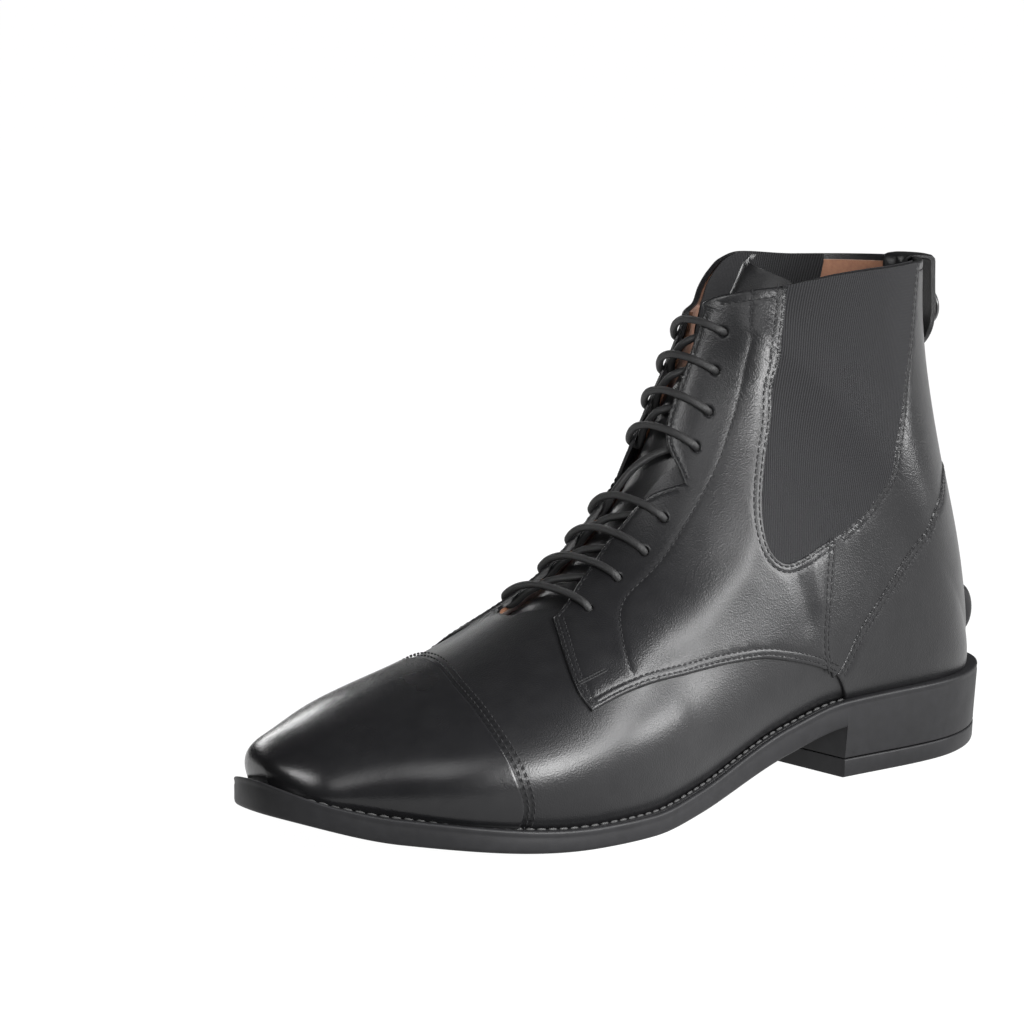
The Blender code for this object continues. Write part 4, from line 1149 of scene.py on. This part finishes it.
def rubber_finish():
    """Satin black rubber, slightly scuffed."""
    material, tree, shader = new_finish("sole_rubber", RUBBER_DYE[1], 0.5, Specular_IOR_Level=0.2)
    mottled(tree, shader, noise(tree, 300.0, 4.0), RUBBER_DYE)
    uneven_gloss(tree, shader, noise(tree, 90.0, 4.0), 0.42, 0.62)
    bumped(tree, shader, [(noise(tree, 1600.0, 3.0), 0.12, 0.0001), (noise(tree, 120.0), 0.1, 0.0006)])
    return material


def thread_finish(name, colour):
    """Dull twisted thread."""
    material, tree, shader = new_finish(name, colour, 0.7, Specular_IOR_Level=0.2)
    bumped(tree, shader, [(noise(tree, 4000.0, 2.0), 0.3, 0.0001)])
    return material


def cord_finish():
    """Waxed round cord with a fine braid, on the cord's own map, with painted shade in the braid's grooves and
    painted light on its strands.
    """
    material, tree, shader = new_finish("waxed_cord", CORD_PAINTED_BRAID_SHADE[1], 0.55, Specular_IOR_Level=0.3)
    place = tree.nodes.new("ShaderNodeUVMap")
    turn = add_node(tree, "ShaderNodeMapping", Rotation=(0, 0, 0.7))
    braid = add_node(tree, "ShaderNodeTexWave", Scale=900.0, Distortion=0.3)
    tree.links.new(place.outputs["UV"], turn.inputs["Vector"])
    tree.links.new(turn.outputs["Vector"], braid.inputs["Vector"])
    # Painted shade and light: darker in the braid's grooves, lighter on its strands.
    mottled(tree, shader, braid.outputs["Fac"], CORD_PAINTED_BRAID_SHADE)
    bumped(tree, shader, [(braid.outputs["Fac"], 0.5, 0.0002)])
    return material


def stud_finish():
    """Black lacquer on the stud's head."""
    material, tree, shader = new_finish("stud_lacquer", STUD_COLOUR, 0.28)
    bumped(tree, shader, [(noise(tree, 500.0), 0.06, 0.0002)])
    return material


# Chart lines of the seams

RIM_AROUND = np.linspace(-1, 1, 401)
RIM_LINE = np.array([rim_place(a) for a in RIM_AROUND])


def rim_at(around):
    """Girth of the collar's edge at places around the boot."""
    return np.interp(around, RIM_AROUND, RIM_LINE)


def seam_chart(side):
    """Chart lines of one side's seams, in fine steps."""

    def spots(points):
        return [place_on_side(x, z, side) for x, z in points]

    end, corner = spots([QUARTER_END, GORE_CORNER])
    throat = throat_edge(side)
    throat[-1] = (float(rim_place(throat[-1][1])), throat[-1][1])
    front = spots(QUARTER_FRONT)
    gore = [rim_point(GORE_TOPS[0], side)] + spots(GORE_LINE) + [rim_point(GORE_TOPS[1], side)]
    gore = walked_line(gore, 320)
    turn = np.argmin(np.linalg.norm((gore - corner) * CHART_SIZE, axis=1))
    corner = tuple(gore[turn])
    counter_top = back_place(COUNTER_TOP_Z)
    return {
        "front": walked_line(front[::-1] + throat[:1], 60),
        "throat_low": walked_line(throat[:THROAT_NOTCH + 1], 80),
        "throat_high": walked_line(throat[THROAT_NOTCH:], 80),
        "foot": walked_line([front[-1]] + spots(QUARTER_FOOT) + [end], 120),
        "side": walked_line([end] + spots(SIDE_SEAM) + [corner], 60),
        "gore_front": gore[:turn + 1][::-1],
        "gore_back": gore[turn:],
        "counter": walked_line([end] + spots(COUNTER_SEAM) + [(counter_top, float(side))], 120),
        "facing": walked_line([rim_point(FACING_TOP, side)] + spots(FACING_LINE), 120),
    }


def inner_holes():
    """Chart places of the inner lace holes, level with the outer ones and set in from the throat's edge."""
    edge = np.concatenate([SEAMS[-1]["throat_low"], SEAMS[-1]["throat_high"][1:]])
    edge = edge[np.argsort(edge[:, 0])]
    found = []
    for place, _ in EYELET_CHART:
        around = np.interp(place, edge[:, 0], edge[:, 1])
        step = np.linalg.norm(last_point(place, around) - last_point(place, around - 0.01)) / 0.01
        found.append((place, around - HOLE_INSET / step))
    return found


def collar_chart(start, end, segments):
    """Chart points along the collar's edge, between two places around the boot."""
    around = np.linspace(start[1], end[1], segments + 1)
    return np.column_stack([rim_at(around), around])


def circle_chart(place, around, diameter):
    """Chart outline of a punched hole."""
    angle = np.linspace(0, 2 * np.pi, 25)[:-1]
    step = 1e-3
    along = np.linalg.norm(last_point(place + step, around) - last_point(place - step, around)) / (2 * step)
    across = np.linalg.norm(last_point(place, around + step) - last_point(place, around - step)) / (2 * step)
    return np.column_stack([place + np.cos(angle) * diameter / 2 / along,
                            around + np.sin(angle) * diameter / 2 / across])


def shortened(line, start, end):
    """A chart line with real lengths taken off its two ends."""
    return at_lengths(line, np.linspace(start, lengths(line)[-1] - end, len(line)))


# Pieces of the upper

def upper_chart(side, rows, across, gap, drop):
    """Chart grid of one half of the upper, with the throat opened by a gap beyond its edge and foot."""
    seams = SEAMS[side]
    edge = np.concatenate([seams["throat_low"], seams["throat_high"][1:]])
    edge = beside(edge, -side * gap)
    foot = place_on_ridge(THROAT_FOOT_Z - drop)
    share = crowded(rows, 1.25)
    top = rim_at(0.0)
    order = np.argsort(edge[:, 0])
    half_gap = np.interp(share * top, np.concatenate([[0.0, foot], edge[order, 0]]),
                         np.concatenate([[0.0, 0.0], np.abs(edge[order, 1])]))
    around = side * (half_gap[:, None] + (1 - half_gap[:, None]) * np.linspace(0, 1, across))
    return np.stack([share[:, None] * rim_at(around), around], axis=-1)


def make_upper():
    """The vamp and the shell under the panels, and the brown lining inside it."""
    for name, finish, slot, outside, inside, replaces, gap, drop, top in (
        ("vamp_shell", LEATHER_VAMP, "leather", 0.0, -SHELL_LEATHER, ("upper",), SHELL_GAP, 0.0, 1.0),
        ("shell_lining", LINING, "lining", -SHELL_LEATHER - LINING_SINK, -WALL, (), LINING_GAP, LINING_FOOT,
         LINING_TOP),
    ):
        points, faces = [], []
        for side in (1, -1):
            grid = upper_chart(side, *UPPER_GRID, gap, drop) * [top, 1]
            more_points, more_faces = walled(grid, outside, inside)
            faces.append(more_faces + sum(len(part) for part in points))
            points.append(more_points)
        piece(name, np.concatenate(points), np.concatenate(faces), finish, slot, replaces)


def make_toe_cap():
    """The toe cap with its back edge, and its two rows of stitches."""
    knots = column(CAP_ROWS, CAP_COLUMNS, "around")
    length, width = CAP_GRID
    spread = np.linspace(-1, 1, width)
    share = 1 - (1 - np.linspace(0, 1, length)) ** 1.7
    places = share[:, None] * natural_spline(knots, column(CAP_ROWS, CAP_COLUMNS, "girth"), spread)
    grid = np.stack([places, spread * above_bed(places, FOOT_RISE)], axis=-1)
    edge = grid[-1]
    rows = [shortened(beside(dense(edge, ROW_STEP), inset), *CAP_ENDS) for inset in EDGE_ROWS]
    heights = leather_height(grid.reshape(-1, 2), distance_to([edge]), distance_to(rows), PANEL_RISE, LEATHER)
    wall = walled(grid, heights.reshape(grid.shape[:2]), PANEL_RISE - PANEL_SINK)
    piece("toe_cap_leather", *wall, LEATHER_CAP, "leather", ("toe_cap",))
    sew("toe_cap_stitches", rows, PANEL_RISE + LEATHER - STITCH_SINK)


def make_quarter(side, word):
    """The front quarter with its lace facing, holes and stitch rows."""
    s = SEAMS[side]
    gore_top, throat_top = s["gore_front"][-1], s["throat_high"][-1]
    outline = np.concatenate([
        s["foot"][:-1], s["side"][:-1], s["gore_front"][:-1],
        collar_chart(gore_top, throat_top, 60)[:-1],
        s["throat_high"][::-1][:-1], s["throat_low"][::-1][:-1], s["front"][::-1][:-1],
    ])
    holes = [circle_chart(*spot, HOLE_DIAMETER) for spot in (EYELET_CHART if side > 0 else INNER_CHART)]
    hem = np.concatenate([s["front"][::-1], s["foot"][1:]])
    seams = s | {"hem": hem, "collar": collar_chart(throat_top, gore_top, 80)}
    rows = []
    for name, insets, outer_ends, inner_ends in QUARTER_ROWS:
        for inset in insets:
            rows.append(shortened(beside(seams[name], side * inset), *(outer_ends if side > 0 else inner_ends)))
    sewn_panel(f"{word}_quarter", f"quarter_{word}", outline, rows, holes)
    tack = walked_line([place_on_side(x, z, side) for x, z in BAR_TACK], 12)
    sew(f"{word}_bar_tack", [beside(tack, shift) for shift in TACK_ROWS], PANEL_RISE + LEATHER, TACK_STITCH)


def make_back_quarter(side, word):
    """The panel behind the gore, tucked under the quarter and the counter."""
    s = SEAMS[side]
    centre = np.array([rim_at(float(side)), float(side)])
    gore_top = s["gore_back"][-1]
    down = np.linspace(centre, s["counter"][-1], 60)
    tuck = BACK_TUCK * np.clip(np.linspace(0, 40, len(s["counter"])), 0, 1)
    tuck *= np.clip(np.linspace(20, 0, len(s["counter"])), 0, 1)
    outline = np.concatenate([
        beside(s["side"], side * BACK_TUCK)[:-1], s["gore_back"][:-1], collar_chart(gore_top, centre, 60)[:-1],
        down[:-1], beside(s["counter"], -side * tuck)[::-1][:-1],
    ])
    rows = [shortened(beside(s["gore_back"], -side * inset), *BACK_ENDS) for inset in EDGE_ROWS]
    collar = collar_chart(gore_top, centre, 80)
    rows.append(shortened(beside(collar, -side * COLLAR_ROW), *BACK_COLLAR_ENDS))
    sewn_panel(f"{word}_back", f"back_quarter_{word}", outline, rows, thickness=BACK_LEATHER)


def make_counter():
    """The heel counter, one piece round both sides."""
    outer, inner = SEAMS[1]["counter"], SEAMS[-1]["counter"] + [0, 2]
    bend, tip = [place_on_side(x, z, 1) for x, z in COUNTER_FRONT]
    places = np.linspace(tip[0], back_place(COUNTER_TOP_Z), 600)
    around = above_bed(places, FOOT_RISE)
    foot = np.column_stack([places, around])[around < 0.9995]
    inner_foot = foot * [1, -1] + [0, 2]
    bottom = np.vstack([foot, [foot[-1, 0] + 1e-4, 1.0], inner_foot[::-1]])
    start = walked_line([tuple(outer[0]), bend, tuple(foot[0])], 16)
    end = start[::-1] * [1, -1] + [0, 2]
    outline = np.concatenate([start[:-1], bottom[:-1], end[:-1], inner[:-1], outer[::-1][:-1]])
    rows = []
    for inset in EDGE_ROWS:
        rows += [shortened(beside(line, way * inset), *COUNTER_ENDS) for line, way in ((outer, -1), (inner, 1))]
    sewn_panel("counter", "heel_counter", outline, rows, rise=PANEL_RISE + COUNTER_RISE)


def make_gore(side, word):
    """The elastic gore, between the leather edges, and its dark back on the inside."""
    s = SEAMS[side]
    rows, columns = GORE_GRID
    front = even_line(beside(s["gore_front"], side * GORE_TUCK), rows)
    spread = np.linspace(0, 1, columns + 1)[None, :, None]
    for name, tuck, outside, inside, replaces in (
        ("web", GORE_TUCK, GORE_RISE + ELASTIC, GORE_RISE, (f"gore_{word}",)),
        ("inside", GORE_INSIDE, -WALL - GORE_DEPTHS[0], -WALL - GORE_DEPTHS[1], ()),
    ):
        back = even_line(beside(s["gore_back"], -side * tuck), rows)
        grid = front[:, None] * (1 - spread) + back[:, None] * spread
        grid[-1, :, 0] = rim_at(grid[-1, :, 1])
        wall = walled(grid, outside, inside)
        map_flat(piece(f"{word}_gore_{name}", *wall, ELASTIC_WEB, "elastic", replaces))


def map_flat(made):
    """A map in metres over a side panel: along the foot, and up."""
    layer = made.data.uv_layers.new(name="UVMap")
    spots = np.zeros(len(made.data.vertices) * 3)
    made.data.vertices.foreach_get("co", spots)
    spots = spots.reshape(-1, 3)
    corners = np.zeros(len(made.data.loops), int)
    made.data.loops.foreach_get("vertex_index", corners)
    lean = spots[:, 0] + GORE_LEAN * spots[:, 2]
    layer.data.foreach_set("uv", np.column_stack([lean, spots[:, 2]])[corners].ravel())


def make_tongue():
    """The tongue under the laces."""
    rows, columns = TONGUE_GRID
    share = np.linspace(0, 1, columns)
    up = crowded(rows, 1.3)[:, None]
    lean = np.clip(2 * up - 1, 0, 1)
    around = TONGUE_OUTER * (1 - share) - (TONGUE_INNER - TONGUE_TAPER * lean**2) * share
    levels = TONGUE_TOP_Z - TONGUE_SLOPE * (1 - share) ** 2
    foot = place_on_ridge(TONGUE_FOOT_Z)
    tops = np.array([level_place(a, level) for a, level in zip(around[-1], levels)])
    grid = np.stack([foot + up * (tops - foot), around], axis=-1)
    depth = TONGUE_DIP * (1 - up) ** 3 + TONGUE_LEAN * lean**1.5 * (1 - TONGUE_TWIST * (1 - share))
    high = -WALL - 2 * CLEARANCE - depth
    piece("tongue_leather", *walled(grid, high, high - TONGUE_LEATHER), LEATHER_VAMP, "leather", ("tongue",))


# Sole, heel and welt

def sole_piece(name, station, on_heel, profile, replaces):
    """A solid of the sole from a profile of (inset, base, rise) rings, closed across its ends."""
    bases = {
        "rim": lambda at: rim_height(at) + toe_lift(at),
        "under": lambda at: np.where(on_heel, LIFT_THICKNESS + JOINT_GAP, height("underside", at)),
        "floor": lambda at: 0 * at,
    }
    rings = []
    for inset, base, rise in profile:
        on_block, ahead = inset if isinstance(inset, tuple) else (inset, inset)
        inset = np.where(on_heel, on_block, ahead)
        for side in (1, -1):
            edge = sole_edge(station, inset[:, None], side)
            rings.append(np.column_stack([edge, bases[base](edge[:, 0] / SOLE_LENGTH) + rise]))
    count = len(station)
    faces = []
    last = len(profile) - 1
    step = np.arange(count - 1)
    for ring in range(last):
        for side in (0, 1):
            a, b = (2 * ring + side) * count + step, (2 * ring + 2 + side) * count + step
            faces.append(np.stack([a, b, b + 1, a + 1], axis=1))
    for ring in (0, last):
        a, b = 2 * ring * count + step, (2 * ring + 1) * count + step
        faces.append(np.stack([a, a + 1, b + 1, b], axis=1))
    ends = []
    for ring in range(last):
        for i in (0, count - 1):
            a, b = 2 * ring * count + i, 2 * (ring + 1) * count + i
            ends.append([a, a + count, b + count, b])
    faces = np.concatenate(faces + [np.array(ends)])
    piece(name, np.concatenate(rings), faces, RUBBER, "rubber", replaces)


def heel_stations(count):
    """Places along the sole from the back of the heel to its breast."""
    return (1 - np.cos(np.linspace(0, 1, count) * np.arccos(1 - 2 * HEEL_BREAST))) / 2


def make_sole():
    """The unit sole with its rounded rim and square heel breast, and the heel's top piece."""
    heel = heel_stations(70)
    start = np.arccos(1 - 2 * HEEL_BREAST)
    fore = (1 - np.cos(start + np.linspace(0, 1, 170) * (np.pi - start))) / 2
    station = np.concatenate([heel, fore])
    on_heel = np.arange(len(station)) < len(heel)
    sole_piece("sole_unit", station, on_heel, SOLE_PROFILE, ("outsole",))
    lift = heel_stations(90)
    sole_piece("heel_top_piece", lift, np.ones(len(lift), bool), LIFT_PROFILE, ("heel_lift",))


def make_welt():
    """The strip in the groove between the sole's rim and the upper, with its stitches."""
    breast = HEEL_BREAST * SOLE_LENGTH
    end = place_on_side(breast, bed_height(breast) + 1, 1)[0]
    places = end * np.linspace(0, 1, 240) ** 1.2
    tip, heel = last_point(0.0, 1.0)[0], last_point(end, 1.0)[0]
    reach = (tip - last_point(places, np.ones(len(places)))[:, 0]) / (tip - heel)
    station = 1 - reach * (1 - HEEL_BREAST)
    near, far = [sole_edge(station, LIP_WIDTH + WELT_GAP, side) for side in (1, -1)]
    outer = np.concatenate([near[::-1], far[1:]])
    near, far = [bed_line(places, side, WELT_THICKNESS, -WELT_TUCK) for side in (1, -1)]
    inner = np.concatenate([near[::-1], far[1:]])
    lines = []
    for part, level in WELT_PROFILE:
        spots = outer * (1 - part) + inner * part
        level = bed_height(spots[:, 0]) + CLEARANCE + level * WELT_THICKNESS + toe_lift(spots[:, 0] / SOLE_LENGTH)
        lines.append(np.column_stack([spots, level]))
    lines.append(np.column_stack([inner, bed_height(inner[:, 0]) + WELT_FOOT]))
    grid = np.stack(lines)
    rows, columns = grid.shape[:2]
    first, last = np.arange(columns), np.arange((rows - 1) * columns, rows * columns)
    under = np.stack([first[:-1], last[:-1], last[1:], first[1:]], axis=1)
    ends = [[r * columns + c for r in range(rows)] for c in (0, columns - 1)]
    faces = grid_faces(rows, columns).tolist() + under.tolist() + ends
    piece("welt_strip", grid.reshape(-1, 3), faces, LEATHER_VAMP, "leather", ("welt",))
    row = outer * 0.5 + inner * 0.5
    level = bed_height(row[:, 0]) + CLEARANCE + WELT_STITCH_LEVEL * WELT_THICKNESS
    sew_paths("welt_stitches", [np.column_stack([row, level])], WELT_THREAD, WELT_STITCH)


def make_sock():
    """The insole's cover of brown leather."""
    places = HEEL_GIRTH * np.linspace(0.0, INSOLE_END, 120) ** 1.3
    rings = []
    for margin, level in INSOLE_PROFILE:
        edges = [bed_line(places, side, 0.0, -margin) for side in (1, -1)]
        loop = np.concatenate([edges[0], edges[1][::-1]])
        rings.append(np.column_stack([loop, bed_height(loop[:, 0]) + CLEARANCE + level]))
    count = len(rings[0])
    faces = ring_faces(count, len(rings))
    for base in (0, (len(rings) - 1) * count):
        for i in range(count // 2 - 1):
            faces.append([base + i, base + i + 1, base + count - 2 - i, base + count - 1 - i])
    piece("insole_cover", np.concatenate(rings), faces, LINING, "lining", ("insole",))


# Fittings

def make_strap():
    """The strap down the back of the collar, folded over it."""
    rows, columns = STRAP_GRID
    share = np.linspace(0, 1, rows)
    across = np.sin(np.linspace(-1, 1, columns) * np.pi / 2)
    low = STRAP_FLAT + STRAP_BOW * np.sin(np.pi / 2 * np.clip(2 * share, 0, 1))
    levels = STRAP_FOOT_Z + share * (STRAP_TOP_Z - STRAP_FOOT_Z)
    tip = np.sqrt(np.clip(1 - (1 - share / STRAP_TIP).clip(0, 1) ** 2, 0.01, 1))
    width = np.append(tip, np.ones(len(FOLD_OVER)))
    over = np.vstack([np.column_stack([levels, low + STRAP_THICKNESS]), FOLD_OVER])
    under = np.vstack([np.column_stack([levels, low]), FOLD_UNDER])
    crown = 1 - STRAP_CROWN * np.abs(across) ** 6
    skins = []
    for line in (over, under):
        rings = []
        for (level, distance), half in zip(line, width):
            around = 1 + STRAP_HALF_WIDTH * half * across
            places = np.array([level_place(a, min(level, FOLD_LEVEL)) for a in around])
            spots = last_point(places, around)
            out = last_normal(places, around) * [1, 1, 0]
            spots[:, 2] = level
            rings.append(spots + out * distance)
        skins.append(np.array(rings))
    skins[0] = skins[1] + (skins[0] - skins[1]) * crown[None, :, None]
    piece("strap_leather", *shut(*skins), LEATHER_QUARTER, "leather", ("back_strap",))


def make_stud():
    """The stud on the strap, turned round its own middle."""
    place = back_place(STUD_Z)
    out = last_normal(place, 1.0) * [1, 0, 1]
    base = last_point(place, 1.0) + out * (STRAP_FLAT + STRAP_BOW + STRAP_THICKNESS - STUD_SINK)
    up = np.cross(out, [0, 1, 0])
    angle = np.linspace(0, 2 * np.pi, 65)[:-1]
    circle = np.outer(np.cos(angle), [0, 1, 0]) + np.outer(np.sin(angle), up)
    rings = []
    for radius, rise in STUD_PROFILE:
        rings.append(base + out * rise * STUD_THICKNESS + circle * radius * STUD_DIAMETER / 2)
    faces = ring_caps(len(angle), len(rings)) + ring_faces(len(angle), len(rings))
    piece("stud_head", np.concatenate(rings), faces, STUD, "stud", ("strap_stud",))


def make_spur_rest():
    """The ledge on the heel's back that keeps a spur up."""
    rows, columns = SPUR_GRID
    across = np.linspace(-1, 1, columns)
    around = 1 + SPUR_HALF_WIDTH * across
    levels = np.linspace(SPUR_FOOT_Z, SPUR_TOP_Z, rows)
    grid = np.array([[(level_place(a, level), a) for a in around] for level in levels])
    share = np.linspace(-1, 1, rows)[:, None]
    swell = np.sqrt(1 - share**2) * np.sqrt(1 - np.abs(across[None, :]) ** 2.5)
    low = PANEL_RISE + LEATHER
    wall = walled(grid, low + SPUR_EDGE + swell * SPUR_REACH, low - SPUR_SINK)
    piece("spur_ledge", *wall, RUBBER, "rubber", ("spur_rest",))


def make_lace():
    """One cord: a bar over the throat for each pair of holes, and a slant from bar to bar under it."""
    over, under = PANEL_RISE + LEATHER + LACE_SINK * LACE_DIAMETER, -LACE_DIAMETER / 2
    route = []
    holes = np.array([EYELET_CHART[::-1], INNER_CHART[::-1]])
    for number, (near, far) in enumerate(zip(*holes)):
        for share, lift in LACE_BAR:
            route.append((*(near + (far - near) * share), under + (over - under) * lift))
        if number + 1 < holes.shape[1]:
            for step in LACE_SLANT:
                route.append((*(far + (holes[0, number + 1] - far) * step), under))
    spots = offset_point(*np.array(route).T)
    walked = path_lengths(spots)
    even = np.arange(0, walked[-1], LACE_STEP)
    path = np.stack([steady_curve(walked, spots[:, i], even) for i in range(3)], axis=-1)
    tube("lace_cord", path, LACE_DIAMETER / 2, CORD, "cord", [f"lace_bar_{i}" for i in range(1, 9)])


def tube(name, path, radius, finish, slot, replaces):
    """A round cord along a path, with closed ends and a map along its length."""
    sides, count = CORD_SIDES, len(path)
    way = np.gradient(path, axis=0)
    way /= np.linalg.norm(way, axis=1, keepdims=True)
    across = np.zeros_like(path)
    across[0] = np.cross(way[0], [0.3, 0.2, 0.9])
    for i in range(count):
        guide = across[max(i - 1, 0)]
        across[i] = guide - way[i] * (guide @ way[i])
        across[i] /= np.linalg.norm(across[i])
    up = np.cross(way, across)
    angle = np.linspace(0, 2 * np.pi, sides + 1)[:-1]
    rings = path[:, None] + radius * (across[:, None] * np.cos(angle)[None, :, None]
                                      + up[:, None] * np.sin(angle)[None, :, None])
    faces = ring_faces(sides, count) + ring_caps(sides, count)
    made = piece(name, rings.reshape(-1, 3), faces, finish, slot, replaces)
    walked = path_lengths(path) * MM
    layer = made.data.uv_layers.new(name="UVMap")
    for face in made.data.polygons:
        for corner in face.loop_indices:
            ring, turn = divmod(made.data.loops[corner].vertex_index, sides)
            layer.data[corner].uv = (walked[min(ring, count - 1)], turn / sides * 2 * np.pi * radius * MM)


# Camera, floor and lights

def make_camera():
    """The photograph's view: its angle, distance and frame."""
    azimuth, elevation = np.radians(VIEW_AZIMUTH), np.radians(VIEW_ELEVATION)
    back = Vector((np.sin(azimuth) * np.cos(elevation), -np.cos(azimuth) * np.cos(elevation), np.sin(elevation)))
    camera = bpy.data.cameras.new("view")
    camera.lens = VIEW_LENS
    camera.sensor_width = VIEW_SENSOR
    camera.shift_x, camera.shift_y = VIEW_SHIFT
    camera.clip_start = VIEW_NEAR
    made = add_object("view", camera)
    made.location = Vector(world(VIEW_TARGET)) + back * VIEW_DISTANCE
    made.rotation_euler = back.to_track_quat("Z", "Y").to_euler()
    bpy.context.scene.camera = made


def make_floor():
    """The plain pale floor, evenly lit."""
    mesh = bpy.data.meshes.new("floor")
    corners = [(x * FLOOR_REACH, y * FLOOR_REACH, 0) for x, y in ((-1, -1), (1, -1), (1, 1), (-1, 1))]
    mesh.from_pydata(corners, [], [(0, 1, 2, 3)])
    material = new_finish("pale_floor", FLOOR_COLOUR, 0.9, Specular_IOR_Level=0.0, Emission_Color=(1, 1, 1, 1),
                          Emission_Strength=FLOOR_GLOW)[0]
    mesh.materials.append(material)
    add_object("floor", mesh)


def make_lights():
    """Large soft lamps, named by what they brighten."""
    for name, place, target, roll, size, power in LAMPS:
        lamp = bpy.data.lights.new(name, "AREA")
        lamp.shape = "RECTANGLE"
        lamp.size, lamp.size_y = size
        lamp.energy = power
        made = add_object(name, lamp)
        made.location = place
        way = Vector(place) - Vector(target)
        turned = way.to_track_quat("Z", "Y") @ Quaternion((0, 0, 1), np.radians(roll))
        made.rotation_euler = turned.to_euler()
    sky = bpy.data.worlds.new("studio")
    bpy.context.scene.world = sky
    sky.use_nodes = True
    backdrop = sky.node_tree.nodes["Background"]
    backdrop.inputs["Color"].default_value = (1, 1, 1, 1)
    backdrop.inputs["Strength"].default_value = SKY_STRENGTH
    bpy.context.scene.view_settings.view_transform = "Standard"


# Making the boot

SEAMS = {side: seam_chart(side) for side in (1, -1)}
EYELET_CHART = [place_on_side(x, z, 1) for x, z in EYELETS]
INNER_CHART = inner_holes()
STITCHES = stitch_tree()
LEATHER_VAMP = leather_finish("vamp_leather", gloss=0.36, grain=0.2)
LEATHER_CAP = leather_finish("cap_leather", gloss=0.24, grain=0.1)
LEATHER_QUARTER = leather_finish("quarter_leather", gloss=0.34, grain=0.24)
LINING = lining_finish()
ELASTIC_WEB = elastic_finish()
RUBBER = rubber_finish()
CORD = cord_finish()
THREAD = thread_finish("black_thread", THREAD_COLOUR)
WELT_THREAD = thread_finish("grey_thread", WELT_THREAD_COLOUR)
STUD = stud_finish()

make_camera()
make_floor()
make_lights()
make_sole()
make_welt()
make_sock()
make_upper()
make_tongue()
make_toe_cap()
for side, word in ((1, "outer"), (-1, "inner")):
    make_quarter(side, word)
    make_back_quarter(side, word)
    make_gore(side, word)
make_counter()
make_strap()
make_stud()
make_spur_rest()
make_lace()
